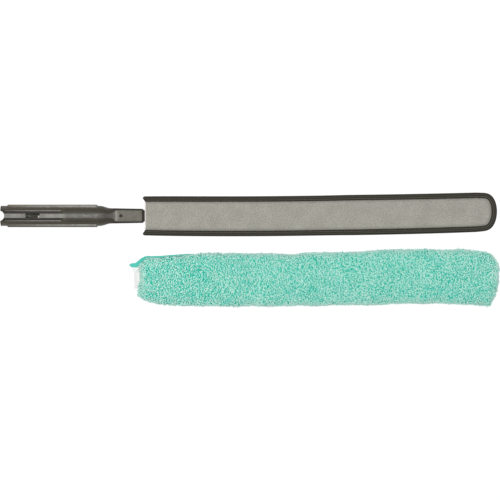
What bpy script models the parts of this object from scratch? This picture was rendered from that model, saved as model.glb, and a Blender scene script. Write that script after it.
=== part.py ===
"""Microfibre duster: a flexible padded blade on a socket handle, with its pile sleeve taken off.

Everything is in metres. +X runs along the wand from the socket to the blade's tip, +Z is up,
and the floor is z = 0. The blade bends at hinges spread along it. The sleeve lies beside it.
"""

import math

import bmesh
import bpy
from mathutils import Matrix, Vector

PART_NAME = "microfibre_duster"

# Clearances and cuts
CLEARANCE = 0.0003
CUT_OVERRUN = 0.004
MERGE_DISTANCE = 0.00001

# Handle barrel: a round tube that an extension pole plugs into
BARREL_LENGTH = 0.1437
BARREL_RADIUS = 0.01465
BARREL_END_CHAMFER = 0.0012
BARREL_SIDE_FLAT = 0.0003
SOCKET_RADIUS = 0.0119
SOCKET_DEPTH = 0.0886
GRIP_HOLLOW_RADIUS = 0.0085
GRIP_HOLLOW_END_WALL = 0.009

# Notches in the socket's end, and the window that the pole's button shows in
NOTCH_RADIUS = 0.0072
NOTCH_CENTRE_OUTSIDE = 0.00235
WINDOW_START = 0.0367
WINDOW_LENGTH = 0.0207
WINDOW_WIDTH = 0.0068
CATCH_START = 0.0440
CATCH_LENGTH = 0.0185
CATCH_WIDTH = 0.0092
CATCH_THICKNESS = 0.0018

# Raised strips along the barrel
RAIL_START = 0.0103
RAIL_LENGTH = 0.1299
RAIL_HALF_SPAN = 0.0163
RAIL_HALF_HEIGHT = 0.0080
RAIL_BEVEL = 0.0008
RIB_START = 0.0067
RIB_LENGTH = 0.0819
RIB_WIDTH = 0.0019
RIB_OFFSET = 0.0072
RIB_RISE = 0.0007
SPINE_WIDTH = 0.0070
SPINE_RISE = 0.0006

# Shoulder and tongue
SHOULDER_PLAN_LENGTH = 0.0165
SHOULDER_SIDE_LENGTH = 0.0240
TONGUE_LENGTH = 0.0641
TONGUE_ROOT_HALF_WIDTH = 0.01125
TONGUE_TIP_HALF_WIDTH = 0.0100
TONGUE_ROOT_HALF_HEIGHT = 0.0066
TONGUE_TIP_HALF_HEIGHT = 0.0058
TONGUE_EDGE_RADIUS = 0.0028
TONGUE_END_ROUND = 0.0030

# Padded blade
PAD_GAP = 0.0016
PAD_LENGTH = 0.5107
PAD_HALF_WIDTH = 0.0291
PAD_TIP_NARROWING = 0.0010
PAD_SIDE_BOW = 0.0064
PAD_HALF_THICKNESS = 0.0060
TIP_CORNER_RADIUS = 0.0210
COVER_THICKNESS = 0.0012
COVER_RISE_RUN = 0.0065
FOAM_EDGE_ROUND = 0.0025
FOAM_SETBACK = 0.0020
FOAM_EDGE_INSET = 0.0050
FOAM_TIP_SETBACK = 0.0030
NARROWING_POWER = 6.0
BOW_POWER = 3.0

# Binding tape round the blade's edge
BINDING_WIDTH = 0.0077
TAPE_THICKNESS = 0.0008
BINDING_EDGE_BEVEL = 0.0004
BINDING_EAR_LENGTH = 0.0045

# Core strip that keeps the blade's bend, and the pin that holds it in the tongue
CORE_WIDTH = 0.0160
CORE_THICKNESS = 0.0025
CORE_TAIL_LENGTH = 0.0560
CORE_TIP_SETBACK = 0.0220
CORE_HINGE_GAP = 0.0010
CORE_PIN_RADIUS = 0.0016
CORE_PIN_SETBACK = 0.0351
CORE_PIN_RECESS = 0.0005

# Hinges that stand for the blade's bending
FIRST_HINGE = 0.0600
HINGE_COUNT = 5

# Pile sleeve, lying beside the wand
SLEEVE_START = 0.1982
SLEEVE_LENGTH = 0.5249
SLEEVE_HALF_WIDTH = 0.0396
SLEEVE_HEIGHT = 0.0290
SLEEVE_WALL = 0.0055
SLEEVE_SIDE_WALL = 0.0082
SLEEVE_END_WALL = 0.0120
SLEEVE_MOUTH_WALL = 0.0036
SLEEVE_SETTLING = 0.0012
SEAM_TAPE_WIDTH = 0.0030
SEAM_TAPE_THICKNESS = 0.0024
SEAM_TAPE_LENGTH = 0.0720
SEAM_TAB_LENGTH = 0.0125
SEAM_TAB_WIDTH = 0.0050
SEAM_TAB_DROP = 0.0025
LABEL_REACH = 0.0102
LABEL_SLANT = 0.0052
LABEL_TUCK = 0.0020
LABEL_INSIDE = 0.0095
LABEL_WIDTH = 0.0325
LABEL_THICKNESS = 0.0006
LABEL_EDGE_GAP = 0.0008

# Where the wand and the sleeve lie across the floor
WAND_ACROSS = 0.0488
SLEEVE_ACROSS = -0.0442

# Mesh fineness
CORNER_STEPS = 6
ROUND_SEGMENTS = 32
PIN_SEGMENTS = 20
SHOULDER_STEPS = 7
SLEEVE_RING_POINTS = 12
TIP_ARC_STEPS = 9
FOAM_STEPS = 3

# Outline of the sleeve from mouth to tip: place along it, sideways drift, half-width and height
SLEEVE_OUTLINE_SHARES = (
    (0.000, -0.020, 0.550, 0.64),
    (0.009, -0.018, 0.680, 0.86),
    (0.022, 0.000, 0.800, 1.00),
    (0.040, -0.010, 0.850, 1.00),
    (0.065, -0.025, 0.895, 1.00),
    (0.120, -0.020, 0.935, 1.00),
    (0.200, 0.020, 0.990, 1.00),
    (0.340, -0.010, 1.000, 1.00),
    (0.460, 0.025, 0.990, 1.00),
    (0.580, 0.065, 0.995, 1.00),
    (0.700, 0.100, 1.010, 1.00),
    (0.810, 0.135, 1.030, 1.00),
    (0.900, 0.115, 1.040, 1.00),
    (0.955, 0.070, 1.010, 1.00),
    (0.980, 0.060, 0.900, 0.88),
    (0.994, 0.120, 0.600, 0.62),
    (1.000, 0.170, 0.250, 0.30),
)
SLEEVE_CAVITY_SHARES = (0.000, 0.022, 0.065, 0.200, 0.460, 0.700, 0.900, 1.000)
SLEEVE_SQUARENESS = 2.6

# How the cover's surface climbs from the binding to the crown: run and rise
COVER_COLUMN_SHARES = (0.0, 0.25, 0.5, 0.75, 1.0)
TIP_ROW_SHARES = (0.0, 0.35, 0.65, 1.0)

# Sizes worked out from those above
TONGUE_END = BARREL_LENGTH + TONGUE_LENGTH
PAD_START = TONGUE_END + PAD_GAP
WAND_LENGTH = PAD_START + PAD_LENGTH
OVERALL_LENGTH = max(WAND_LENGTH, SLEEVE_START + SLEEVE_LENGTH)
SOCKET_END_X = -OVERALL_LENGTH / 2
AXIS_HEIGHT = BARREL_RADIUS + SPINE_RISE
HINGE_SPACING = (PAD_LENGTH - FIRST_HINGE) / HINGE_COUNT
COVER_EDGE_INSET = TAPE_THICKNESS + CLEARANCE
COVER_EDGE_HEIGHT = COVER_THICKNESS + CLEARANCE / 2
COVER_RISE_START = BINDING_WIDTH + CLEARANCE
CROWN_INSET = COVER_RISE_START + COVER_RISE_RUN
FOAM_INSET = COVER_RISE_START + FOAM_EDGE_INSET
FOAM_HALF_THICKNESS = PAD_HALF_THICKNESS - COVER_THICKNESS - CLEARANCE
BINDING_INNER_HEIGHT = COVER_EDGE_HEIGHT + CLEARANCE
BINDING_OUTER_HEIGHT = BINDING_INNER_HEIGHT + TAPE_THICKNESS
TIP_REST = PAD_LENGTH - CROWN_INSET
BLADE_DROOP = math.asin((AXIS_HEIGHT - PAD_HALF_THICKNESS) / TIP_REST)
SLEEVE_MIDDLE = SLEEVE_HEIGHT / 2 - SLEEVE_SETTLING
CAVITY_HALF_HEIGHT = SLEEVE_HEIGHT / 2 - SLEEVE_WALL
CAVITY_HALF_WIDTH = SLEEVE_HALF_WIDTH - SLEEVE_SIDE_WALL


def clear_scene():
    """Remove every object that the scene starts with."""
    for obj in list(bpy.data.objects):
        bpy.data.objects.remove(obj, do_unlink=True)


def new_collection(name):
    """Add a collection to the scene."""
    collection = bpy.data.collections.new(name)
    bpy.context.scene.collection.children.link(collection)
    return collection


def linear(channel):
    """Turn one display colour channel, 0 to 255, into a linear value."""
    value = channel / 255
    return value / 12.92 if value <= 0.04045 else ((value + 0.055) / 1.055) ** 2.4


def make_material(name, colour, roughness, metallic=0.0):
    """Make a Principled material from a display colour."""
    material = bpy.data.materials.new(name)
    material.use_nodes = True
    shader = material.node_tree.nodes["Principled BSDF"]
    shader.inputs["Base Color"].default_value = (*(linear(c) for c in colour), 1.0)
    shader.inputs["Roughness"].default_value = roughness
    shader.inputs["Metallic"].default_value = metallic
    return material


def handle_plastic():
    """Dark olive-grey moulded plastic."""
    return make_material("handle_plastic", (84, 81, 70), 0.45)


def core_metal():
    """Bare aluminium of the strip inside the blade."""
    return make_material("core_metal", (190, 192, 194), 0.35, 1.0)


def pin_metal():
    """Darkened steel of the pin in the tongue."""
    return make_material("pin_metal", (92, 90, 84), 0.4, 1.0)


def foam_material():
    """Pale foam padding."""
    return make_material("foam", (205, 202, 197), 0.95)


def cover_fabric():
    """Grey knitted cover."""
    return make_material("cover_fabric", (164, 161, 153), 0.9)


def binding_fabric():
    """Black binding tape."""
    return make_material("binding_fabric", (62, 61, 52), 0.85)


def pile_fabric():
    """Aqua looped pile of the sleeve."""
    return make_material("pile_fabric", (133, 208, 192), 0.95)


def seam_fabric():
    """Darker smooth tape along the sleeve's seam."""
    return make_material("seam_fabric", (72, 189, 170), 0.8)


def label_fabric():
    """Blank white label."""
    return make_material("label_fabric", (246, 247, 245), 0.7)


def add_object(name, data, collection, parent=None, material=None):
    """Put a mesh or curve in a collection as a named object."""
    obj = bpy.data.objects.new(name, data)
    collection.objects.link(obj)
    obj.parent = parent
    if material is not None:
        data.materials.append(material)
    return obj


def mesh_from(name, bm):
    """Turn a bmesh into a mesh and free it."""
    mesh = bpy.data.meshes.new(name)
    bm.to_mesh(mesh)
    bm.free()
    return mesh


def shade_round(mesh, sharp_angle=math.radians(35)):
    """Shade a mesh smooth apart from its real edges."""
    mesh.shade_smooth()
    mesh.set_sharp_from_angle(angle=sharp_angle)


def box_mesh(name, low, high):
    """A box between two corners."""
    bm = bmesh.new()
    bmesh.ops.create_cube(bm, size=1.0)
    size = Vector(high) - Vector(low)
    middle = (Vector(high) + Vector(low)) / 2
    bmesh.ops.scale(bm, vec=size, verts=bm.verts)
    bmesh.ops.translate(bm, vec=middle, verts=bm.verts)
    return mesh_from(name, bm)


def rod_mesh(name, start, end, radius, segments):
    """A cylinder from one point to another."""
    axis = Vector(end) - Vector(start)
    turn = Vector((0, 0, 1)).rotation_difference(axis).to_matrix().to_4x4()
    place = Matrix.Translation((Vector(start) + Vector(end)) / 2) @ turn
    bm = bmesh.new()
    bmesh.ops.create_cone(
        bm, cap_ends=True, segments=segments, radius1=radius, radius2=radius, depth=axis.length, matrix=place
    )
    return mesh_from(name, bm)


def loft_mesh(name, rings):
    """A closed skin through rings that have the same number of points, capped at both ends."""
    bm = bmesh.new()
    rows = [[bm.verts.new(point) for point in ring] for ring in rings]
    for near, far in zip(rows, rows[1:]):
        for i in range(len(near)):
            j = (i + 1) % len(near)
            bm.faces.new((near[i], near[j], far[j], far[i]))
    bm.faces.new(reversed(rows[0]))
    bm.faces.new(rows[-1])
    bmesh.ops.recalc_face_normals(bm, faces=bm.faces)
    return mesh_from(name, bm)


def make_tool(name, mesh, parent=None):
    """A hidden shape that another object is cut with or joined to."""
    tool = add_object(name, mesh, TOOLS, parent)
    tool.hide_render = True
    tool.display_type = "WIRE"
    return tool


def combine(obj, tool, operation):
    """Join a tool to an object, or cut it away."""
    modifier = obj.modifiers.new(tool.name, "BOOLEAN")
    modifier.operation = operation
    modifier.object = tool
    modifier.solver = "EXACT"


def add_bevel(obj, width, segments):
    """Round an object's edges."""
    modifier = obj.modifiers.new("rounded_edges", "BEVEL")
    modifier.width = width
    modifier.segments = segments
    modifier.limit_method = "ANGLE"


def ease(share):
    """An S-curve from 0 to 1."""
    share = min(max(share, 0.0), 1.0)
    return (1 - math.cos(math.pi * share)) / 2


def mix(first, last, share):
    """A value part of the way from one to another."""
    return first + (last - first) * share


def rounded_section(x, half_width, half_height, corner, drift=0.0, steps=CORNER_STEPS):
    """A ring across X: a rectangle with round corners."""
    points = []
    for quarter, (side_y, side_z) in enumerate(((1, 1), (-1, 1), (-1, -1), (1, -1))):
        centre_y = drift + side_y * (half_width - corner)
        centre_z = side_z * (half_height - corner)
        for step in range(steps + 1):
            angle = math.pi / 2 * (quarter + step / steps)
            points.append((x, centre_y + corner * math.cos(angle), centre_z + corner * math.sin(angle)))
    return points


def handle_rings():
    """Sections of the barrel, its shoulder and the tongue, from the socket's end."""
    round_corner = BARREL_RADIUS - BARREL_SIDE_FLAT
    end_size = BARREL_RADIUS - BARREL_END_CHAMFER
    end_corner = round_corner - BARREL_END_CHAMFER
    rings = [
        rounded_section(0, end_size, end_size, end_corner),
        rounded_section(BARREL_END_CHAMFER, BARREL_RADIUS, BARREL_RADIUS, round_corner),
    ]
    for step in range(SHOULDER_STEPS + 1):
        along = SHOULDER_SIDE_LENGTH * step / SHOULDER_STEPS
        side_share = ease(along / SHOULDER_SIDE_LENGTH)
        half_width = mix(BARREL_RADIUS, TONGUE_ROOT_HALF_WIDTH, ease(along / SHOULDER_PLAN_LENGTH))
        half_height = mix(BARREL_RADIUS, TONGUE_ROOT_HALF_HEIGHT, side_share)
        corner = min(mix(round_corner, TONGUE_EDGE_RADIUS, side_share), half_height - BARREL_SIDE_FLAT)
        rings.append(rounded_section(BARREL_LENGTH + along, half_width, half_height, corner))
    for step in range(3):
        angle = math.pi / 2 * step / 2
        inset = TONGUE_END_ROUND * (1 - math.cos(angle))
        corner = TONGUE_EDGE_RADIUS * math.cos(angle / 2)
        rings.append(
            rounded_section(
                TONGUE_END - TONGUE_END_ROUND * (1 - math.sin(angle)),
                TONGUE_TIP_HALF_WIDTH - inset,
                TONGUE_TIP_HALF_HEIGHT - inset / 2,
                corner,
            )
        )
    return rings


def add_handle_strips(handle, wand):
    """Join the side rails, the thin ribs and the flat spine to the barrel."""
    rails = make_tool(
        "rails_tool",
        box_mesh(
            "rails_tool",
            (RAIL_START, -RAIL_HALF_SPAN, -RAIL_HALF_HEIGHT),
            (RAIL_START + RAIL_LENGTH, RAIL_HALF_SPAN, RAIL_HALF_HEIGHT),
        ),
        wand,
    )
    add_bevel(rails, RAIL_BEVEL, 2)
    combine(handle, rails, "UNION")
    spine_height = BARREL_RADIUS + SPINE_RISE
    spine = make_tool(
        "spine_tool",
        box_mesh(
            "spine_tool",
            (RIB_START, -SPINE_WIDTH / 2, -spine_height),
            (RIB_START + RIB_LENGTH, SPINE_WIDTH / 2, spine_height),
        ),
        wand,
    )
    combine(handle, spine, "UNION")
    rib_height = math.sqrt(BARREL_RADIUS**2 - RIB_OFFSET**2) + RIB_RISE
    for side in (-1, 1):
        rib_name = "rib_tool_left" if side > 0 else "rib_tool_right"
        rib = make_tool(
            rib_name,
            box_mesh(
                rib_name,
                (RIB_START, side * RIB_OFFSET - RIB_WIDTH / 2, -rib_height),
                (RIB_START + RIB_LENGTH, side * RIB_OFFSET + RIB_WIDTH / 2, rib_height),
            ),
            wand,
        )
        combine(handle, rib, "UNION")


def cut_socket(handle, wand):
    """Cut the socket, the hollow grip, the end notches and the window, and leave the catch in it."""
    socket = make_tool(
        "socket_tool",
        rod_mesh("socket_tool", (-CUT_OVERRUN, 0, 0), (SOCKET_DEPTH, 0, 0), SOCKET_RADIUS, ROUND_SEGMENTS),
        wand,
    )
    hollow = make_tool(
        "grip_hollow_tool",
        rod_mesh(
            "grip_hollow_tool",
            (SOCKET_DEPTH - CUT_OVERRUN, 0, 0),
            (BARREL_LENGTH - GRIP_HOLLOW_END_WALL, 0, 0),
            GRIP_HOLLOW_RADIUS,
            ROUND_SEGMENTS,
        ),
        wand,
    )
    through = BARREL_RADIUS + SPINE_RISE + CUT_OVERRUN
    notch = make_tool(
        "notch_tool",
        rod_mesh(
            "notch_tool",
            (-NOTCH_CENTRE_OUTSIDE, 0, -through),
            (-NOTCH_CENTRE_OUTSIDE, 0, through),
            NOTCH_RADIUS,
            ROUND_SEGMENTS,
        ),
        wand,
    )
    window = make_tool(
        "window_tool",
        box_mesh(
            "window_tool",
            (WINDOW_START, -WINDOW_WIDTH / 2, 0),
            (WINDOW_START + WINDOW_LENGTH, WINDOW_WIDTH / 2, through),
        ),
        wand,
    )
    for tool in (socket, hollow, notch, window):
        combine(handle, tool, "DIFFERENCE")
    catch_top = math.sqrt(SOCKET_RADIUS**2 - (CATCH_WIDTH / 2) ** 2) + CATCH_THICKNESS / 2
    catch = make_tool(
        "catch_tool",
        box_mesh(
            "catch_tool",
            (CATCH_START, -CATCH_WIDTH / 2, catch_top - CATCH_THICKNESS),
            (CATCH_START + CATCH_LENGTH, CATCH_WIDTH / 2, catch_top),
        ),
        wand,
    )
    combine(handle, catch, "UNION")


def cut_tongue(handle, blade):
    """Cut the slot for the core strip and the hole for its pin, along the drooping blade."""
    half_width = CORE_WIDTH / 2 + CLEARANCE
    half_thickness = CORE_THICKNESS / 2 + CLEARANCE
    slot = make_tool(
        "core_slot_tool",
        box_mesh(
            "core_slot_tool",
            (-CORE_TAIL_LENGTH - CLEARANCE, -half_width, -half_thickness),
            (CUT_OVERRUN, half_width, half_thickness),
        ),
        blade,
    )
    combine(handle, slot, "DIFFERENCE")
    through = TONGUE_ROOT_HALF_HEIGHT + CUT_OVERRUN
    hole = make_tool(
        "pin_hole_tool",
        rod_mesh(
            "pin_hole_tool",
            (-CORE_PIN_SETBACK, 0, -through),
            (-CORE_PIN_SETBACK, 0, through),
            CORE_PIN_RADIUS + CLEARANCE,
            PIN_SEGMENTS,
        ),
        blade,
    )
    combine(handle, hole, "DIFFERENCE")


def build_handle(wand, blade):
    """The one-piece moulded handle."""
    mesh = loft_mesh("handle_barrel", handle_rings())
    handle = add_object("handle_barrel", mesh, PARTS, wand, handle_plastic())
    add_handle_strips(handle, wand)
    cut_socket(handle, wand)
    cut_tongue(handle, blade)
    shade_round(mesh)


def build_core_pin(blade):
    """The pin that goes down through the tongue and the core strip."""
    half_length = TONGUE_TIP_HALF_HEIGHT - CORE_PIN_RECESS
    mesh = rod_mesh(
        "core_pin",
        (-CORE_PIN_SETBACK, 0, -half_length),
        (-CORE_PIN_SETBACK, 0, half_length),
        CORE_PIN_RADIUS,
        PIN_SEGMENTS,
    )
    shade_round(mesh)
    add_object("core_pin", mesh, PARTS, blade, pin_metal())


def hinge_place(number):
    """Distance of a hinge from the pad's mouth; hinge 1 is the first."""
    return FIRST_HINGE + HINGE_SPACING * (number - 1)


def segment_ends(segment, gap):
    """Where a segment's pieces start and end, with half the gap left at each hinge."""
    start = hinge_place(segment) + gap / 2 if segment else 0.0
    end = hinge_place(segment + 1) - gap / 2 if segment < HINGE_COUNT else PAD_LENGTH
    return start, end


def pad_bow(x):
    """Sideways drift of the pad's middle line."""
    share = min(max(x / PAD_LENGTH, 0.0), 1.0)
    return PAD_SIDE_BOW * share**BOW_POWER


def pad_straight_width(x):
    """Half the width of the pad's outline, as if its tip corners were square."""
    share = min(max(x / PAD_LENGTH, 0.0), 1.0)
    return PAD_HALF_WIDTH - PAD_TIP_NARROWING * share**NARROWING_POWER


def pad_half_width(x, inset):
    """Half the width of the pad's outline, drawn in by an inset, with its tip corners rounded."""
    straight = pad_straight_width(x) - inset
    corner = max(TIP_CORNER_RADIUS - inset, COVER_THICKNESS)
    over = x - (PAD_LENGTH - inset - corner)
    if over <= 0:
        return straight
    return straight - corner + math.sqrt(max(corner**2 - over**2, 0.0))


def edge_distance(x, y):
    """How far inside the pad's outline a point lies."""
    across = pad_straight_width(x) - abs(y)
    along = PAD_LENGTH - x
    if across < TIP_CORNER_RADIUS and along < TIP_CORNER_RADIUS:
        reach = math.hypot(TIP_CORNER_RADIUS - across, TIP_CORNER_RADIUS - along)
        return TIP_CORNER_RADIUS - reach
    return min(across, along)


def cover_height(x, y):
    """Height of the cover's outer face above the blade's middle plane."""
    share = ease((edge_distance(x, y) - COVER_RISE_START) / COVER_RISE_RUN)
    return mix(COVER_EDGE_HEIGHT, PAD_HALF_THICKNESS, share)


def cover_columns():
    """Insets of the cover's lengthwise lines, from its edge to the crown."""
    insets = [COVER_EDGE_INSET]
    insets += [COVER_RISE_START + COVER_RISE_RUN * share for share in COVER_COLUMN_SHARES]
    return insets


def cover_rows(segment):
    """Places of the cover's crosswise lines in one segment."""
    start, end = segment_ends(segment, CLEARANCE)
    if segment < HINGE_COUNT:
        return [start, (start + end) / 2, end]
    corner = TIP_CORNER_RADIUS - COVER_EDGE_INSET
    centre = PAD_LENGTH - TIP_CORNER_RADIUS
    rows = [start, (start + centre) / 2, centre]
    tip_rows = [PAD_LENGTH - mix(CROWN_INSET, COVER_RISE_START, share) for share in TIP_ROW_SHARES]
    for step in range(1, TIP_ARC_STEPS + 1):
        tip_rows.append(centre + corner * math.sin(math.pi / 2 * step / TIP_ARC_STEPS))
    for reach in sorted(tip_rows):
        if reach > rows[-1] + CLEARANCE:
            rows.append(reach)
    return rows


def build_cover(segment, upper, body, material):
    """One segment of the knitted cover, above or below the foam."""
    side = 1 if upper else -1
    name = f"{'top' if upper else 'bottom'}_cover_{segment}"
    rows = cover_rows(segment)
    insets = cover_columns()
    half = len(insets)
    bm = bmesh.new()
    bmesh.ops.create_grid(bm, x_segments=len(rows) - 1, y_segments=2 * half, size=1.0)
    for vert in bm.verts:
        row = round((vert.co.x + 1) / 2 * (len(rows) - 1))
        column = round(vert.co.y * half)
        x = rows[row]
        edge = pad_half_width(x, COVER_EDGE_INSET)
        full = pad_half_width(0, COVER_EDGE_INSET)
        reach = 0.0 if column == 0 else insets[half - abs(column)]
        share = 0.0 if column == 0 else 1 - (reach - COVER_EDGE_INSET) / full
        y = math.copysign(edge * share, column)
        vert.co = (x, y + pad_bow(x), side * cover_height(x, y))
    if not upper:
        bmesh.ops.reverse_faces(bm, faces=bm.faces)
    cover = add_object(name, mesh_from(name, bm), PARTS, body, material)
    move_to_body(cover)
    shell = cover.modifiers.new("cloth_thickness", "SOLIDIFY")
    shell.thickness = COVER_THICKNESS
    shell.offset = -1.0
    shell.use_even_offset = True
    shade_round(cover.data)


def strip_outline(start, end, half_width):
    """Corner points of a flat strip that follows the pad's middle line, anticlockwise."""
    places = [start]
    for number in range(1, HINGE_COUNT + 2):
        hinge = hinge_place(number)
        places += [x for x in (hinge - HINGE_SPACING / 2, hinge) if start < x < end]
    places.append(end)
    right = [(x, pad_bow(x) - half_width) for x in places]
    left = [(x, pad_bow(x) + half_width) for x in reversed(places)]
    return right + left


def flat_curve(name, points, half_thickness):
    """A filled flat outline with a thickness."""
    curve = bpy.data.curves.new(name, "CURVE")
    curve.dimensions = "2D"
    curve.fill_mode = "BOTH"
    curve.extrude = half_thickness
    spline = curve.splines.new("POLY")
    spline.points.add(len(points) - 1)
    for point, (x, y) in zip(spline.points, points):
        point.co = (x, y, 0, 1)
    spline.use_cyclic_u = True
    return curve


def curve_to_mesh(name, curve):
    """Make a mesh of a curve, with its caps welded on."""
    guide = bpy.data.objects.new(name + "_outline", curve)
    bpy.context.scene.collection.objects.link(guide)
    graph = bpy.context.evaluated_depsgraph_get()
    mesh = bpy.data.meshes.new_from_object(guide.evaluated_get(graph))
    bpy.data.objects.remove(guide, do_unlink=True)
    bm = bmesh.new()
    bm.from_mesh(mesh)
    bmesh.ops.remove_doubles(bm, verts=bm.verts, dist=MERGE_DISTANCE)
    bmesh.ops.recalc_face_normals(bm, faces=bm.faces)
    bm.to_mesh(mesh)
    bm.free()
    mesh.name = name
    return mesh


def move_to_body(obj):
    """Keep a piece where it was modelled on the blade when its body's origin is elsewhere."""
    body = obj.parent
    if body is not None and body.name.startswith("bend_"):
        obj.data.transform(Matrix.Translation(-body.location))


def foam_rings(segment):
    """Sections of one segment of foam; the last one rounds off at the pad's tip."""
    start, end = segment_ends(segment, CLEARANCE)
    start = start if segment else FOAM_SETBACK
    tip = PAD_LENGTH - FOAM_INSET - FOAM_TIP_SETBACK
    places = [start, (start + min(end, tip)) / 2]
    if segment < HINGE_COUNT:
        places.append(end)
    rings = [foam_section(x, 0.0, 0.0) for x in places]
    if segment == HINGE_COUNT:
        corner = max(TIP_CORNER_RADIUS - FOAM_INSET, 0.0) + FOAM_TIP_SETBACK
        for step in range(FOAM_STEPS + 1):
            angle = math.pi / 2 * step / FOAM_STEPS
            x = tip - corner * (1 - math.sin(angle))
            drawn_in = 1 - math.cos(angle)
            rings.append(foam_section(x, corner * drawn_in, FOAM_EDGE_ROUND * drawn_in))
    return rings


def foam_section(x, narrower, thinner):
    """One section of the foam, made narrower and thinner by the rounding at its tip."""
    corner = FOAM_EDGE_ROUND - thinner / 2
    half_width = pad_straight_width(x) - FOAM_INSET - narrower
    half_thickness = FOAM_HALF_THICKNESS - thinner
    return rounded_section(x, half_width, half_thickness, corner, pad_bow(x), FOAM_STEPS)


def build_foam(segment, body, channel, material):
    """One segment of the foam padding, with the slot that the core strip runs in."""
    name = f"foam_pad_{segment}"
    foam = add_object(name, loft_mesh(name, foam_rings(segment)), PARTS, body, material)
    move_to_body(foam)
    combine(foam, channel, "DIFFERENCE")
    shade_round(foam.data)


def build_core(segment, body, material):
    """One length of the core strip; the first reaches back into the tongue."""
    name = f"core_strip_{segment}"
    start, end = segment_ends(segment, CORE_HINGE_GAP)
    start = start if segment else -CORE_TAIL_LENGTH
    end = end if segment < HINGE_COUNT else PAD_LENGTH - CORE_TIP_SETBACK
    points = strip_outline(start, end, CORE_WIDTH / 2)
    mesh = curve_to_mesh(name, flat_curve(name, points, CORE_THICKNESS / 2))
    core = add_object(name, mesh, PARTS, body, material)
    move_to_body(core)
    if segment == 0:
        combine(core, bpy.data.objects["pin_hole_tool"], "DIFFERENCE")


def binding_profile():
    """The folded tape's section: a C that opens towards the pad's middle."""
    outer = BINDING_OUTER_HEIGHT
    inner = BINDING_INNER_HEIGHT
    bevel = BINDING_EDGE_BEVEL
    upper = [(-bevel, outer), (-BINDING_WIDTH, outer), (-BINDING_WIDTH, inner), (-TAPE_THICKNESS, inner)]
    return [(0, outer - bevel)] + upper + [(n, -z) for n, z in reversed(upper)] + [(0, bevel - outer)]


def edge_path(side, start, end):
    """Points and outward directions along one side of the pad."""
    path = []
    for x in (start, (start + end) / 2, end):
        path.append((x, pad_bow(x) + side * pad_half_width(x, 0), Vector((0, side))))
    return path


def tip_path(start):
    """Points and outward directions round the pad's tip, from its left side to its right."""
    centre_x = PAD_LENGTH - TIP_CORNER_RADIUS
    path = edge_path(1, start, centre_x)[:-1]
    for side, first_angle in ((1, math.pi / 2), (-1, 0.0)):
        for step in range(TIP_ARC_STEPS + 1):
            angle = first_angle - math.pi / 2 * step / TIP_ARC_STEPS
            out = Vector((math.cos(angle), math.sin(angle)))
            x = centre_x + TIP_CORNER_RADIUS * out.x
            path.append((x, pad_bow(x) + side * pad_half_width(x, 0), out))
    path += list(reversed(edge_path(-1, start, centre_x)))[1:]
    return path


def build_binding(name, path, body, material):
    """One length of the binding, swept along the pad's edge."""
    rings = []
    for x, y, out in path:
        rings.append([(x + out.x * n, y + out.y * n, z) for n, z in binding_profile()])
    binding = add_object(name, loft_mesh(name, rings), PARTS, body, material)
    move_to_body(binding)
    shade_round(binding.data)


def build_bindings(bodies, material):
    """The binding on both sides of each segment, and round the tip."""
    for segment in range(HINGE_COUNT):
        start, end = segment_ends(segment, CLEARANCE)
        start = start if segment else -BINDING_EAR_LENGTH
        build_binding(f"binding_left_{segment}", edge_path(1, start, end), bodies[segment], material)
        build_binding(f"binding_right_{segment}", edge_path(-1, start, end), bodies[segment], material)
    start, _ = segment_ends(HINGE_COUNT, CLEARANCE)
    build_binding("binding_tip", tip_path(start), bodies[HINGE_COUNT], material)


def core_channel_tool(blade):
    """The channel through all the foam."""
    end = PAD_LENGTH - CORE_TIP_SETBACK + CLEARANCE
    points = strip_outline(-CUT_OVERRUN, end, CORE_WIDTH / 2 + CLEARANCE)
    curve = flat_curve("core_channel_tool", points, CORE_THICKNESS / 2 + CLEARANCE)
    return make_tool("core_channel_tool", curve_to_mesh("core_channel_tool", curve), blade)


def build_blade(blade):
    """The padded blade: a chain of segments, each pivoting on the one before it."""
    bodies = [blade]
    for number in range(1, HINGE_COUNT + 1):
        pivot = add_object(f"bend_{number}", None, PARTS, blade)
        pivot.location = (hinge_place(number), 0, 0)
        pivot.empty_display_size = PAD_HALF_WIDTH
        bodies.append(pivot)
    core, foam, cover, binding = core_metal(), foam_material(), cover_fabric(), binding_fabric()
    channel = core_channel_tool(blade)
    for segment, body in enumerate(bodies):
        build_core(segment, body, core)
        build_foam(segment, body, channel, foam)
        build_cover(segment, True, body, cover)
        build_cover(segment, False, body, cover)
    build_bindings(bodies, binding)


def sleeve_shape(share):
    """Sideways drift, half-width and height share of the sleeve at a place along it."""
    table = SLEEVE_OUTLINE_SHARES
    for near, far in zip(table, table[1:]):
        if share <= far[0]:
            part = (share - near[0]) / (far[0] - near[0])
            return tuple(mix(near[k], far[k], part) for k in (1, 2, 3))
    return table[-1][1:]


def cavity_half_width(share):
    """Half the width of the space inside the sleeve, which is widest past the mouth."""
    _, width, _ = sleeve_shape(share)
    mouth_part = max(1 - share / SLEEVE_CAVITY_SHARES[2], 0.0)
    wall = mix(SLEEVE_SIDE_WALL, SLEEVE_MOUTH_WALL, mouth_part)
    return min(SLEEVE_HALF_WIDTH * width - wall, CAVITY_HALF_WIDTH)


def oval_ring(x, drift, half_width, half_height, middle):
    """A ring across X: a squarish oval."""
    points = []
    for step in range(SLEEVE_RING_POINTS):
        angle = 2 * math.pi * step / SLEEVE_RING_POINTS
        across = math.copysign(abs(math.cos(angle)) ** (2 / SLEEVE_SQUARENESS), math.cos(angle))
        up = math.copysign(abs(math.sin(angle)) ** (2 / SLEEVE_SQUARENESS), math.sin(angle))
        points.append((x, drift + half_width * across, middle + half_height * up))
    return points


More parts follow.
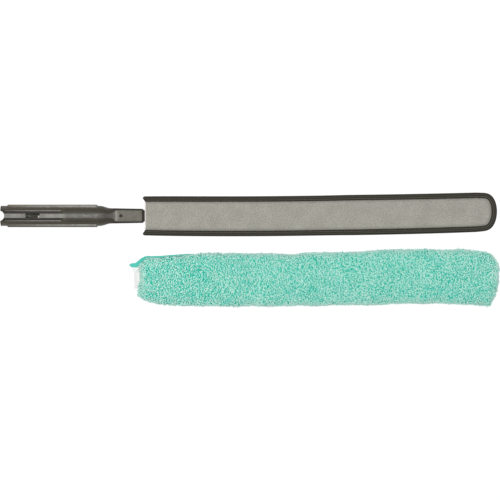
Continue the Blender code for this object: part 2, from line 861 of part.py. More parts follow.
def ring_height(height):
    """Half the height of the sleeve where it has this share of its full height, and where its middle is."""
    half_height = SLEEVE_HEIGHT / 2 * height
    return half_height, mix(half_height, SLEEVE_HEIGHT / 2, height) - SLEEVE_SETTLING


def sleeve_rings():
    """Rings from the closed end over the outside to the mouth, then back along the inside."""
    rings = []
    for share, drift, width, height in reversed(SLEEVE_OUTLINE_SHARES):
        half_height, middle = ring_height(height)
        rings.append(
            oval_ring(
                SLEEVE_LENGTH * share,
                SLEEVE_HALF_WIDTH * drift,
                SLEEVE_HALF_WIDTH * width,
                half_height,
                middle,
            )
        )
    for share in SLEEVE_CAVITY_SHARES:
        drift, _, height = sleeve_shape(share * (SLEEVE_LENGTH - SLEEVE_END_WALL) / SLEEVE_LENGTH)
        half_height, middle = ring_height(height)
        half_width = cavity_half_width(share) if share < 1 else CAVITY_HALF_WIDTH / 2
        rings.append(
            oval_ring(
                (SLEEVE_LENGTH - SLEEVE_END_WALL) * share,
                SLEEVE_HALF_WIDTH * drift,
                half_width,
                min(CAVITY_HALF_HEIGHT, half_height - SLEEVE_MOUTH_WALL),
                middle,
            )
        )
    return rings


def build_sleeve_sock(sleeve):
    """The hollow pile sleeve, open at its mouth and flat where it lies on the floor."""
    mesh = loft_mesh("sleeve_sock", sleeve_rings())
    sock = add_object("sleeve_sock", mesh, PARTS, sleeve, pile_fabric())
    smooth = sock.modifiers.new("soft_form", "SUBSURF")
    smooth.levels = 1
    smooth.render_levels = 1
    reach = SLEEVE_HALF_WIDTH + SLEEVE_HEIGHT
    floor = make_tool(
        "floor_tool",
        box_mesh(
            "floor_tool",
            (-SLEEVE_HEIGHT, -reach, -SLEEVE_HEIGHT),
            (SLEEVE_LENGTH + SLEEVE_HEIGHT, reach, 0),
        ),
        sleeve,
    )
    combine(sock, floor, "DIFFERENCE")
    mesh.shade_smooth()


def seam_line(along):
    """Where the sleeve's left edge lies, just outside the pile."""
    drift, width, _ = sleeve_shape(along / SLEEVE_LENGTH)
    return SLEEVE_HALF_WIDTH * (drift + width) + CLEARANCE


def build_seam_tape(sleeve):
    """The tape sewn along the sleeve's edge, with its end tab past the mouth."""
    places = [SLEEVE_LENGTH * shares[0] for shares in SLEEVE_OUTLINE_SHARES]
    places = [x for x in places if x < SEAM_TAPE_LENGTH] + [SEAM_TAPE_LENGTH]
    inner = [(x, seam_line(x)) for x in places]
    outer = [(x, y + SEAM_TAPE_WIDTH) for x, y in inner]
    tab_low = inner[0][1] - SEAM_TAB_DROP
    tab_high = tab_low + SEAM_TAB_WIDTH
    points = [(-SEAM_TAB_LENGTH, tab_low), (-CLEARANCE, tab_low)] + inner
    points += outer[:0:-1] + [(-CLEARANCE, tab_high), (-SEAM_TAB_LENGTH, tab_high)]
    curve = flat_curve("sleeve_seam_tape", points, SEAM_TAPE_THICKNESS / 2)
    tape = add_object("sleeve_seam_tape", curve, PARTS, sleeve, seam_fabric())
    tape.location = (0, 0, SLEEVE_MIDDLE)


def build_label(sleeve):
    """The blank label that sticks out of the mouth, sewn under the tape's end tab."""
    drift, _, _ = sleeve_shape(0)
    inside_edge = SLEEVE_HALF_WIDTH * drift + cavity_half_width(0) - LABEL_EDGE_GAP
    right_edge = inside_edge - LABEL_WIDTH
    tab_edge = seam_line(0) - SEAM_TAB_DROP + LABEL_TUCK
    points = [
        (LABEL_SLANT - LABEL_REACH, right_edge),
        (LABEL_INSIDE, right_edge),
        (LABEL_INSIDE, inside_edge),
        (-CLEARANCE, inside_edge),
        (-CLEARANCE, tab_edge),
        (-LABEL_REACH, tab_edge),
    ]
    label = add_object(
        "care_label", flat_curve("care_label", points, LABEL_THICKNESS / 2), PARTS, sleeve, label_fabric()
    )
    under_tab = SEAM_TAPE_THICKNESS / 2 + CLEARANCE + LABEL_THICKNESS / 2
    label.location = (0, 0, SLEEVE_MIDDLE - under_tab)


def build_part():
    """Build the wand and the sleeve in their own frames, side by side on the floor."""
    wand = add_object("wand_frame", None, PARTS)
    wand.location = (SOCKET_END_X, WAND_ACROSS, AXIS_HEIGHT)
    blade = add_object("blade_frame", None, PARTS, wand)
    blade.location = (PAD_START, 0, 0)
    blade.rotation_euler = (0, BLADE_DROOP, 0)
    sleeve = add_object("sleeve_frame", None, PARTS)
    sleeve.location = (SOCKET_END_X + SLEEVE_START, SLEEVE_ACROSS, 0)
    build_handle(wand, blade)
    build_core_pin(blade)
    build_blade(blade)
    build_sleeve_sock(sleeve)
    build_seam_tape(sleeve)
    build_label(sleeve)


clear_scene()
PARTS = new_collection(PART_NAME)
TOOLS = new_collection("cutters")
build_part()
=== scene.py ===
"""Looks of a microfibre duster: a padded, bendable dusting blade on a socket handle, and its looped pile
sleeve lying beside it.

Everything is in metres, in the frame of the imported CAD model. +X runs along the wand from its socket to
the blade's tip, +Z is up, and the floor is z = 0.
"""

import logging
import math
from collections.abc import Callable, Iterator, Sequence
from contextlib import contextmanager
from dataclasses import dataclass, field
from enum import Enum

import bmesh
import bpy
import numpy as np
from mathutils import Matrix, Vector, noise
from mathutils.kdtree import KDTree


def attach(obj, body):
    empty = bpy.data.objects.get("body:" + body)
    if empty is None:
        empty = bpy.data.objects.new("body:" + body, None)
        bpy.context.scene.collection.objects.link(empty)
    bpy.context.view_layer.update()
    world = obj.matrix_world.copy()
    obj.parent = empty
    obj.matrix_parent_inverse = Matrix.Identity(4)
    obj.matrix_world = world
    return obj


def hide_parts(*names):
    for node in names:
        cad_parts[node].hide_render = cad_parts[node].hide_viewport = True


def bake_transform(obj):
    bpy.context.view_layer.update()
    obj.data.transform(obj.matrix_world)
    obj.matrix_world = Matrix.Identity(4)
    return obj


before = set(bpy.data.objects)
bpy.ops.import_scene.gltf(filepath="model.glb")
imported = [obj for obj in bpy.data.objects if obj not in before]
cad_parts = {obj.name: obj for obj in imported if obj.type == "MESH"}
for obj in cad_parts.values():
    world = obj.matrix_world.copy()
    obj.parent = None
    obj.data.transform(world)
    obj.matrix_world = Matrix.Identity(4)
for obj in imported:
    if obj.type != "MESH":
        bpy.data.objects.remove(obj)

LOG = logging.getLogger("microfibre_duster")
SWELL_FRAMES = 16
SWELL_CLOTH = {
    "quality": 5,
    "mass": 0.15,
    "air_damping": 3.0,
    "tension_stiffness": 12.0,
    "compression_stiffness": 6.0,
    "bending_stiffness": 0.3,
    "use_pressure": True,
}

Colour = tuple[float, float, float]
Pair = tuple[float, float]
Rings = list[list[Vector]]
Edges = tuple[tuple[str, float, float], ...]
Object = bpy.types.Object
Material = bpy.types.Material


class Cut(Enum):
    """What a tool body does to the piece it is pressed into."""

    ADD = "UNION"
    REMOVE = "DIFFERENCE"


class Face(Enum):
    """The two faces of the blade."""

    TOP = 1
    BOTTOM = -1


class Side(Enum):
    """The two long sides of the blade, seen from the handle."""

    LEFT = 1
    RIGHT = -1


def display(red: float, green: float, blue: float) -> tuple[float, float, float, float]:
    """Turn a display colour, 0 to 255, into a linear one with full alpha."""
    shares = [c / 255 for c in (red, green, blue)]
    linear = [s / 12.92 if s <= 0.04045 else ((s + 0.055) / 1.055) ** 2.4 for s in shares]
    return (*linear, 1.0)


def mix(first: float, last: float, share: float) -> float:
    """A value part of the way between two."""
    return first + (last - first) * share


def spread(first: float, last: float, count: int) -> list[float]:
    """Values at even steps from the first to the last."""
    return [mix(first, last, step / count) for step in range(count + 1)]


def limit(share: float) -> float:
    """A share held between 0 and 1."""
    return min(max(share, 0.0), 1.0)


def ease(share: float) -> float:
    """A smooth step from 0 to 1."""
    share = limit(share)
    return share * share * (3 - 2 * share)


def clear_hands() -> None:
    """Leave edit mode and deselect every object."""
    active = bpy.context.view_layer.objects.active
    if active is not None and active.mode != "OBJECT":
        bpy.ops.object.mode_set(mode="OBJECT")
    bpy.ops.object.select_all(action="DESELECT")


def take(obj: Object) -> None:
    """Select one object alone and make it the active one."""
    clear_hands()
    obj.select_set(True)
    bpy.context.view_layer.objects.active = obj


def put(name: str, data: bpy.types.ID) -> Object:
    """Place data in the scene as an object."""
    obj = bpy.data.objects.new(name, data)
    bpy.context.scene.collection.objects.link(obj)
    return obj


def settle(obj: Object) -> None:
    """Put an object's place, turn and size into its mesh."""
    take(obj)
    bpy.ops.object.transform_apply(location=True, rotation=True, scale=True)


@contextmanager
def open_mesh(obj: Object, mode: str = "FACE") -> Iterator[None]:
    """Open an object in edit mode with nothing selected, and close it afterwards."""
    take(obj)
    bpy.ops.object.mode_set(mode="EDIT")
    bpy.ops.mesh.select_mode(type=mode)
    bpy.ops.mesh.select_all(action="DESELECT")
    yield
    bpy.ops.object.mode_set(mode="OBJECT")


def pick(obj: Object, kind: str, test: Callable[..., bool]) -> None:
    """Select the faces or the edges of the open mesh that pass a test."""
    mesh = bmesh.from_edit_mesh(obj.data)
    bpy.ops.mesh.select_all(action="DESELECT")
    for part in [p for p in getattr(mesh, kind) if test(p)]:
        part.select_set(True)
    mesh.select_flush_mode()
    bmesh.update_edit_mesh(obj.data)


def is_lengthwise(edge: bmesh.types.BMEdge) -> bool:
    """Whether an edge runs along X."""
    return abs(edge.verts[0].co.x - edge.verts[1].co.x) > 0.01


def draw_out(x: float, z: float = 0.0) -> None:
    """Extrude the selected faces of the open mesh."""
    bpy.ops.mesh.extrude_region_move(TRANSFORM_OT_translate={"value": (x, 0, z)})


def bevel(width: float, segments: int) -> None:
    """Round the selected edges of the open mesh."""
    bpy.ops.mesh.bevel(offset=width, segments=segments, affect="EDGES")


def block(name: str, low: Sequence[float], high: Sequence[float], rounding: float = 0.0) -> Object:
    """Add a block between two corners, with its edges rounded."""
    clear_hands()
    bpy.ops.mesh.primitive_cube_add(size=1.0, location=[(a + b) / 2 for a, b in zip(low, high)])
    obj = bpy.context.active_object
    obj.name = name
    obj.scale = [b - a for a, b in zip(low, high)]
    settle(obj)
    if rounding:
        with open_mesh(obj, "EDGE"):
            bpy.ops.mesh.select_all(action="SELECT")
            bevel(rounding, 3)
    return obj


def rod(name: str, start: Sequence[float], end: Sequence[float], radius: float, sides: int) -> Object:
    """Add a round rod between two points."""
    clear_hands()
    reach = Vector(end) - Vector(start)
    turn = reach.to_track_quat("Z", "Y").to_euler()
    middle = (Vector(start) + Vector(end)) / 2
    bpy.ops.mesh.primitive_cylinder_add(
        vertices=sides, radius=radius, depth=reach.length, location=middle, rotation=turn
    )
    obj = bpy.context.active_object
    obj.name = name
    settle(obj)
    return obj


def combine(body: Object, tool: Object, cut: Cut) -> None:
    """Add a tool body to a piece, or take it out of the piece, and put the tool away."""
    step = body.modifiers.new(cut.name.lower(), "BOOLEAN")
    step.object = tool
    step.operation = cut.value
    step.solver = "EXACT"
    take(body)
    bpy.ops.object.modifier_apply(modifier=step.name)
    bpy.data.objects.remove(tool, do_unlink=True)


def let_swell(obj: Object, held: Sequence[float], pressure: float, reach: float) -> None:
    """Fill a piece of cloth with Blender's cloth simulation, and keep the form that it takes.

    Args:
        obj: The cloth, whose faces point the way that the filling pushes.
        held: For every point, from 0 for free to 1 for sewn fast.
        pressure: How hard the filling pushes.
        reach: How far the most moved point may go; the rest is scaled with it.
    """
    before = np.array([v.co for v in obj.data.vertices])
    sewn = obj.vertex_groups.new(name="sewn")
    for index, weight in enumerate(held):
        sewn.add([index], float(weight), "REPLACE")
    step = obj.modifiers.new("filling", "CLOTH")
    for setting, value in SWELL_CLOTH.items():
        setattr(step.settings, setting, value)
    step.settings.uniform_pressure_force = pressure
    step.settings.vertex_group_mass = sewn.name
    step.settings.effector_weights.gravity = 0.0
    step.point_cache.frame_start = 1
    step.point_cache.frame_end = SWELL_FRAMES
    for number in range(1, SWELL_FRAMES + 1):
        bpy.context.scene.frame_set(number)
    take(obj)
    bpy.ops.object.modifier_apply(modifier=step.name)
    bpy.context.scene.frame_set(1)
    obj.vertex_groups.clear()
    moved = np.array([v.co for v in obj.data.vertices]) - before
    farthest = float(np.linalg.norm(moved, axis=1).max())
    moved *= min(reach / max(farthest, 1e-9), 1.0)
    obj.data.vertices.foreach_set("co", (before + moved).astype(np.float32).ravel())
    obj.data.update()
    LOG.info("%s: filled, the farthest point went %.1f mm", obj.name, farthest * 1000)


def dress(obj: Object, material: Material) -> None:
    """Give an object one material."""
    obj.data.materials.clear()
    obj.data.materials.append(material)


def hand_over(
    piece: Object, material: Material, sharp: float, body: str = "", node: str = ""
) -> None:
    """Dress and shade a finished piece, hang it on its body, and hide the CAD node that it replaces.

    Args:
        piece: The finished piece.
        material: Its material.
        sharp: The angle in degrees above which its edges stay sharp.
        body: The body that it rides on, or nothing to leave it hung on no body.
        node: The CAD node that it replaces, if that is named here.
    """
    dress(piece, material)
    take(piece)
    bpy.ops.object.shade_smooth_by_angle(angle=math.radians(sharp))
    clear_hands()
    if body:
        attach(piece, body)
    if node:
        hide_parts(node)
    LOG.info("%s: %d faces", piece.name, len(piece.data.polygons))


def cloth_from_above(rings: Rings) -> list[list[Pair]]:
    """The cloth's places where it lies as it does seen from above."""
    return [[(p.x, p.y) for p in ring] for ring in rings]


def loft(name: str, rings: Rings, cloth: Sequence[Sequence[Pair]]) -> Object:
    """Join rings of points into one closed skin, with a cap on the first and last ring.

    Args:
        name: Name of the new object.
        rings: Rings of points, all with the same count.
        cloth: For every point, its place along and across the cloth, kept in the UV map called cloth.

    Returns:
        The new object.
    """
    mesh = bmesh.new()
    layer = mesh.loops.layers.uv.new("cloth")
    rows = [[mesh.verts.new(point) for point in ring] for ring in rings]
    places = {vert: place for row, flat in zip(rows, cloth) for vert, place in zip(row, flat)}
    for near, far in zip(rows, rows[1:]):
        for index in range(len(near)):
            after = (index + 1) % len(near)
            mesh.faces.new((near[index], near[after], far[after], far[index]))
    mesh.faces.new(rows[0][::-1])
    mesh.faces.new(rows[-1])
    for face in mesh.faces:
        for corner in face.loops:
            corner[layer].uv = places[corner.vert]
    bmesh.ops.recalc_face_normals(mesh, faces=mesh.faces)
    data = bpy.data.meshes.new(name)
    mesh.to_mesh(data)
    mesh.free()
    return put(name, data)


def rounded_ring(half_width: float, half_height: float, corner: float, steps: int) -> list[Pair]:
    """Points of a rounded rectangle round the origin, anticlockwise from its right side."""
    corner = min(corner, half_width, half_height)
    points = []
    for quarter, (sx, sy) in enumerate(((1, 1), (-1, 1), (-1, -1), (1, -1))):
        for step in range(steps + 1):
            angle = math.pi / 2 * (quarter + step / steps)
            x = sx * (half_width - corner) + corner * math.cos(angle)
            points.append((x, sy * (half_height - corner) + corner * math.sin(angle)))
    return points


def grid_faces(rows: int, columns: int) -> list[tuple[int, int, int, int]]:
    """Faces of a sheet whose points run row by row."""
    starts = [r * columns + c for r in range(rows - 1) for c in range(columns - 1)]
    return [(n, n + columns, n + columns + 1, n + 1) for n in starts]


def take_apart(obj: Object) -> tuple[np.ndarray, np.ndarray, np.ndarray]:
    """An object's points, its face corners and where each face starts; the object is put away."""
    points = np.array([v.co for v in obj.data.vertices])
    corners = np.array([corner.vertex_index for corner in obj.data.loops])
    starts = np.array([face.loop_start for face in obj.data.polygons])
    bpy.data.objects.remove(obj, do_unlink=True)
    return points, corners, starts


def scatter(name: str, points: np.ndarray, corners: np.ndarray, starts: np.ndarray) -> Object:
    """Make one mesh of many like patches, from the points of each and the faces of one."""
    copies, size = points.shape[:2]
    shift = np.arange(copies)[:, None]
    all_corners = (corners[None, :] + shift * size).ravel()
    all_starts = (starts[None, :] + shift * len(corners)).ravel()
    data = bpy.data.meshes.new(name)
    data.vertices.add(copies * size)
    data.vertices.foreach_set("co", points.astype(np.float32).ravel())
    data.loops.add(len(all_corners))
    data.loops.foreach_set("vertex_index", all_corners.astype(np.int32))
    data.polygons.add(len(all_starts))
    data.polygons.foreach_set("loop_start", all_starts.astype(np.int32))
    data.update(calc_edges=True)
    data.validate()
    return put(name, data)


def give_tone(obj: Object, values: np.ndarray) -> None:
    """Keep the pile's tone, from 0 for deep to 1 for pale, on the points of an object."""
    tone = obj.data.attributes.new("tone", "FLOAT", "POINT")
    tone.data.foreach_set("value", values.astype(np.float32).ravel())


@dataclass(frozen=True)
class Signal:
    """An output of a material's node, which sums like a number."""

    bench: "NodeBench"
    socket: bpy.types.NodeSocket

    def sum(self, kind: str, other: "Signal | float" = 0.0) -> "Signal":
        """One sum with another value, such as ADD or MAXIMUM."""
        return self.bench.add("Math", {0: self, 1: other}, operation=kind)

    def __add__(self, other: "Signal | float") -> "Signal":
        """This value plus another."""
        return self.sum("ADD", other)

    def __sub__(self, other: "Signal | float") -> "Signal":
        """This value less another."""
        return self.sum("SUBTRACT", other)

    def __mul__(self, other: "Signal | float") -> "Signal":
        """This value times another."""
        return self.sum("MULTIPLY", other)

    def __abs__(self) -> "Signal":
        """This value without its sign."""
        return self.sum("ABSOLUTE")

    def between(self, low: float, high: float, to_low: float = 0.0, to_high: float = 1.0) -> "Signal":
        """This value restated smoothly from one span to another."""
        given = dict(enumerate((self, low, high, to_low, to_high)))
        return self.bench.add("MapRange", given, interpolation_type="SMOOTHSTEP")


class NodeBench:
    """Lays out the nodes of one material."""

    def __init__(self, name: str) -> None:
        """Start a material with its Principled shader."""
        self.material = bpy.data.materials.new(name)
        self.material.use_nodes = True
        self.tree = self.material.node_tree
        self.shader = self.tree.nodes["Principled BSDF"]

    def feed(self, node: bpy.types.Node, socket: str | int, value: object) -> None:
        """Give a node's input a signal, a display colour or a plain value."""
        target = node.inputs[socket]
        if isinstance(value, Signal):
            self.tree.links.new(value.socket, target)
        else:
            target.default_value = display(*value) if target.type == "RGBA" else value

    def add(self, kind: str, inputs: dict, output: str | int = 0, **settings: object) -> Signal:
        """Add a node with its options and inputs, and give one of its outputs."""
        node = self.tree.nodes.new(f"ShaderNode{kind}")
        for key, value in settings.items():
            setattr(node, key, value)
        for socket, value in inputs.items():
            self.feed(node, socket, value)
        return Signal(self, node.outputs[output])

    def object_place(self) -> Signal:
        """The point being shaded, in the object's own coordinates."""
        return self.add("TexCoord", {}, "Object")

    def cloth_place(self) -> Signal:
        """The point being shaded, in metres along and across the cloth."""
        return self.add("UVMap", {}, "UV", uv_map="cloth")

    def split(self, place: Signal) -> list[Signal]:
        """The three coordinates of a place."""
        node = self.add("SeparateXYZ", {0: place}).socket.node
        return [Signal(self, socket) for socket in node.outputs]

    def stretched(self, place: Signal, scale: Sequence[float], turn: float = 0.0) -> Signal:
        """A place with its axes stretched and turned about Z."""
        return self.add("Mapping", {"Vector": place, "Scale": scale, "Rotation": (0.0, 0.0, turn)})

    def noise(self, place: Signal, scale: float, detail: float = 3.0, roughness: float = 0.55) -> Signal:
        """Soft noise; scale is in patches per metre."""
        given = {"Vector": place, "Scale": scale, "Detail": detail, "Roughness": roughness}
        return self.add("TexNoise", given, "Fac")

    def cells(self, place: Signal, scale: float) -> Signal:
        """Distance to the middle of small cells; scale is in cells per metre."""
        return self.add("TexVoronoi", {"Vector": place, "Scale": scale}, "Distance")

    def ribs(self, place: Signal, scale: float, axis: str = "X", stray: float = 0.0) -> Signal:
        """Even ribs across an axis."""
        given = {"Vector": place, "Scale": scale, "Distortion": stray, "Detail": 1.0}
        return self.add("TexWave", given, "Fac", wave_type="BANDS", bands_direction=axis)

    def ramp(self, value: Signal, *stops: tuple[float, Colour]) -> Signal:
        """A colour read from a row of stops."""
        made = self.add("ValToRGB", {0: value})
        band = made.socket.node.color_ramp
        while len(band.elements) < len(stops):
            band.elements.new(0.5)
        for element, (place, colour) in zip(band.elements, stops):
            element.position = place
            element.color = display(*colour)
        return made

    def blend(self, share: Signal, first: Signal | Colour, second: Signal | Colour) -> Signal:
        """Mix two colours."""
        return self.add("Mix", {0: share, 6: first, 7: second}, 2, data_type="RGBA", blend_type="MIX")

    def bump(self, height: Signal, depth: float, strength: float) -> None:
        """Raise the surface by a height pattern; depth is in metres."""
        made = self.add("Bump", {"Height": height, "Distance": depth, "Strength": strength})
        for earlier in [link.from_socket for link in self.shader.inputs["Normal"].links]:
            self.tree.links.new(earlier, made.socket.node.inputs["Normal"])
        self.feed(self.shader, "Normal", made)

    def finish(self, **sockets: object) -> Material:
        """Set the shader's sockets, named with underscores for spaces, and hand over the material."""
        for name, value in sockets.items():
            self.feed(self.shader, name.replace("_", " "), value)
        return self.material


@dataclass(frozen=True)
class MouldedPlastic:
    """Dark olive-grey moulded plastic with a fine grain and a stippled grip, with painted shade in its
    grooves, button window, tongue bevels, socket end and shoulder, and painted light on its stop, upper rail
    and tongue's flat faces.

    A region is a row of edges: what is measured, where the region is left, and where it is full.
    """

    colour: Colour = (60, 57, 43)
    worn_colour: Colour = (72, 68, 54)
    # dark colour for painted shade in the grooves, the window, at the socket end and on the shoulder, and
    # between the grip's stipple dots
    painted_shade_colour: Colour = (30, 28, 19)
    # deepest painted shade: the hole behind the button window, and the tongue's bevels and tip
    painted_deep_shade_colour: Colour = (9, 8, 5)
    # pale colour painted on the stop at the window's far end as a highlight
    painted_highlight_colour: Colour = (158, 155, 141)
    # lighter, warmer colour painted on the upper rail, the side that the light comes from
    painted_lit_rail_colour: Colour = (124, 106, 84)
    # lighter colour painted on the tongue's flat faces: painted light
    painted_lit_top_colour: Colour = (82, 78, 64)
    axis: float = 0.0488
    groove_middle: float = 0.0050
    grooves: Edges = (("from_groove", 0.0024, 0.0012), ("along", -0.2695, -0.2735))
    recess: Edges = (
        ("along", -0.3256, -0.3246),
        ("along", -0.3038, -0.3042),
        ("up", 0.0288, 0.0280),
        ("off_axis", 0.0046, 0.0035),
        ("up", 0.0150, 0.0155),
    )
    past_pit: Edges = (("along", -0.3182, -0.3162),)
    stop: Edges = (
        ("along", -0.30725, -0.30705),
        ("along", -0.30425, -0.30445),
        ("across", 0.0494, 0.0492),
        ("up", 0.0273, 0.0275),
        ("off_axis", 0.0037, 0.0035),
        ("up", 0.0294, 0.0292),
    )
    rails: Edges = (("off_axis", 0.0146, 0.0152), ("up", 0.0220, 0.0228))
    lit_side: Edges = (("across", 0.0478, 0.0498),)
    socket_end: Edges = (("along", -0.35855, -0.36155),)
    tongue_top: Edges = (("along", -0.1952, -0.1944), ("off_axis", 0.0087, 0.0079))
    tongue_edge: Edges = (("along", -0.2068, -0.1948), ("off_axis", 0.0083, 0.0091))
    tongue_tip: Edges = (("along", -0.1572, -0.1562),)
    tongue: Edges = (("along", -0.1948, -0.1888),)
    shoulder: Edges = (("along", -0.2230, -0.2170), ("along", -0.1940, -0.1960))
    grip: Edges = (("along", -0.2700, -0.2650), ("along", -0.2210, -0.2260), ("off_axis", 0.0115, 0.0090))

    @staticmethod
    def region(measures: dict[str, Signal], edges: Edges) -> Signal:
        """How far a point lies inside every edge, from 0 to 1."""
        made = None
        for name, left, full in edges:
            falls = left > full
            step = measures[name].between(min(left, full), max(left, full), float(falls), float(not falls))
            made = made * step if made else step
        return made

    def build(self) -> Material:
        """Make the material."""
        bench = NodeBench("handle_plastic")
        place = bench.object_place()
        along, across, up = bench.split(place)
        off_axis = abs(across - self.axis)
        measures = {"along": along, "across": across, "up": up, "off_axis": off_axis}
        measures["from_groove"] = abs(off_axis - self.groove_middle)
        inside = {
            name: self.region(measures, edges)
            for name, edges in vars(self).items()
            if isinstance(edges, tuple) and isinstance(edges[0], tuple)
        }
        clouds = bench.noise(place, 90.0, 4.0)
        stipple = bench.cells(place, 620.0)
        # painted shade on the tongue's side bevels and its rounded tip
        painted_bevel_shade = inside["tongue_edge"].sum("MAXIMUM", inside["tongue_tip"]) * 0.85
        # painted shade on the rounded rim at the socket's end
        painted_end_shade = inside["socket_end"] * 0.8
        # painted shade in the button window: darkest over its left part, where the bore lies open below,
        # lighter over the catch
        recess_shade = bench.blend(inside["past_pit"], self.painted_deep_shade_colour, self.painted_shade_colour)
        # rails: painted light on the upper rail, the plain colour on the lower one
        rail = bench.blend(inside["lit_side"], self.colour, self.painted_lit_rail_colour)
        body = bench.blend(clouds, self.colour, self.worn_colour)
        for share, colour in (
            # painted shade along the grooves beside the ribs
            (inside["grooves"] * 0.9, self.painted_shade_colour),
            # painted shade inside the window's recess
            (inside["recess"] * 0.9, recess_shade),
            # painted highlight on the stop
            (inside["stop"], self.painted_highlight_colour),
            (inside["rails"], rail),
            # painted shade on the socket's end rim
            (painted_end_shade, self.painted_shade_colour),
            # painted light on the tongue's flat faces
            (inside["tongue_top"], self.painted_lit_top_colour),
            # painted shade on the tongue's bevels and tip
            (painted_bevel_shade, self.painted_deep_shade_colour),
            # painted shade on the shoulder's slope down to the tongue
            (inside["shoulder"] * 0.45, self.painted_shade_colour),
            # the same dark colour on the low ground between the grip's raised stipple dots
            (stipple.between(0.15, 0.5) * inside["grip"] * 0.35, self.painted_shade_colour),
        ):
            body = bench.blend(share, body, colour)
        bench.bump(bench.noise(place, 2600.0, 2.0), 0.00005, 0.6)
        bench.bump((stipple * -1.0 + 1.0) * inside["grip"], 0.00022, 0.9)
        dull = (inside["recess"] * 0.4).sum("MAXIMUM", inside["grip"] * 0.05)
        dull = dull.sum("MAXIMUM", painted_bevel_shade.sum("MAXIMUM", painted_end_shade) * 0.5)
        roughness = clouds.between(0.3, 0.7, 0.34, 0.44) + dull.sum("MAXIMUM", inside["tongue"] * 0.20)
        return bench.finish(Base_Color=body, Roughness=roughness, IOR=1.5, Specular_IOR_Level=0.72)


@dataclass(frozen=True)
class KnittedCover:
    """Grey brushed knit, softly mottled, with a pale raw edge at the mouth."""

    colour: Colour = (152, 150, 141)
    dark_colour: Colour = (130, 128, 119)
    light_colour: Colour = (174, 172, 163)
    raw_edge_colour: Colour = (214, 211, 206)
    raw_edge_width: float = 0.0011

    def build(self) -> Material:
        """Make the material."""
        bench = NodeBench("cover_fabric")
        place = bench.cloth_place()
        fine = bench.noise(place, 480.0, 2.0, 0.6)
        clouds = bench.noise(place, 48.0, 3.0)
        loops = bench.cells(bench.stretched(place, (1.0, 0.62, 1.0), 0.35), 1300.0)
        mottled = fine * 0.58 + (clouds * 0.24 + loops * 0.22)
        knit = bench.ramp(mottled, (0.30, self.dark_colour), (0.50, self.colour), (0.70, self.light_colour))
        frayed = bench.split(place)[0] + fine * 0.0008
        raw = frayed.between(self.raw_edge_width, self.raw_edge_width * 1.9, 1.0, 0.0)
        knit = bench.blend(raw, knit, self.raw_edge_colour)
        bench.bump(loops, 0.00018, 0.7)
        bench.bump(fine, 0.00025, 0.5)
        return bench.finish(
            Base_Color=knit, Roughness=0.92, Specular_IOR_Level=0.2, Sheen_Weight=0.25, Sheen_Roughness=0.5
        )


@dataclass(frozen=True)
class BindingTape:
    """Black ribbed binding tape, folded round the edge, with a painted highlight along its ridge."""

    colour: Colour = (36, 35, 27)
    light_colour: Colour = (50, 48, 39)
    # lighter colour painted along the tape's ridge as a highlight
    painted_ridge_highlight_colour: Colour = (72, 70, 60)
    line_place: float = 0.0058
    line_half_width: float = 0.0004

    def build(self) -> Material:
        """Make the material."""
        bench = NodeBench("binding_fabric")
        place = bench.cloth_place()
        ribs = bench.ribs(place, 190.0, "X", 0.6)
        dust = bench.noise(place, 380.0, 3.0, 0.6)
        tape = bench.ramp(ribs * 0.35 + dust * 0.65, (0.30, self.colour), (0.75, self.light_colour))
        # painted highlight along the tape's ridge
        away = abs(bench.split(place)[1] - self.line_place)
        line = away.between(self.line_half_width, self.line_half_width * 2, 0.8, 0.0)
        bench.bump(ribs, 0.00018, 0.8)
        bench.bump(dust, 0.00012, 0.4)
        tape = bench.blend(line, tape, self.painted_ridge_highlight_colour)
        return bench.finish(Base_Color=tape, Roughness=0.78, Specular_IOR_Level=0.3, Sheen_Weight=0.1)


@dataclass(frozen=True)
class SewingThread:
    """Dark twisted sewing thread."""

    colour: Colour = (84, 82, 71)
    light_colour: Colour = (118, 115, 103)

    def build(self) -> Material:
        """Make the material."""
        bench = NodeBench("sewing_thread")
        twist = bench.ribs(bench.stretched(bench.object_place(), (1.0, 1.0, 1.0), 0.7), 900.0)
        bench.bump(twist, 0.00008, 0.8)
        return bench.finish(Base_Color=bench.blend(twist, self.colour, self.light_colour), Roughness=0.6)


@dataclass(frozen=True)
class OpenFoam:
    """Pale open-cell foam."""

    colour: Colour = (214, 210, 202)
    pore_colour: Colour = (172, 166, 154)

    def build(self) -> Material:
        """Make the material."""
        bench = NodeBench("foam")
        pores = bench.cells(bench.object_place(), 1100.0)
        foam = bench.blend(pores.between(0.1, 0.6), self.pore_colour, self.colour)
        bench.bump(pores, 0.0003, 0.8)
        return bench.finish(Base_Color=foam, Roughness=0.95, Specular_IOR_Level=0.15)


@dataclass(frozen=True)
class RolledMetal:
    """Bare rolled metal, lined along its length."""

    name: str
    colour: Colour
    roughness: float
    tarnish: float = 0.72

    def build(self) -> Material:
        """Make the material."""
        bench = NodeBench(self.name)
        place = bench.object_place()
        lines = bench.noise(bench.stretched(place, (0.03, 1.0, 1.0)), 2400.0, 3.0, 0.7)
        tarnished = bench.noise(place, 120.0, 3.0).between(0.45, 0.75)
        metal = bench.blend(tarnished, self.colour, tuple(c * self.tarnish for c in self.colour))
        bench.bump(lines, 0.00004, 0.7)
        roughness = lines.between(0.2, 0.8, self.roughness - 0.08, self.roughness + 0.12)
        return bench.finish(Base_Color=metal, Metallic=1.0, Roughness=roughness)


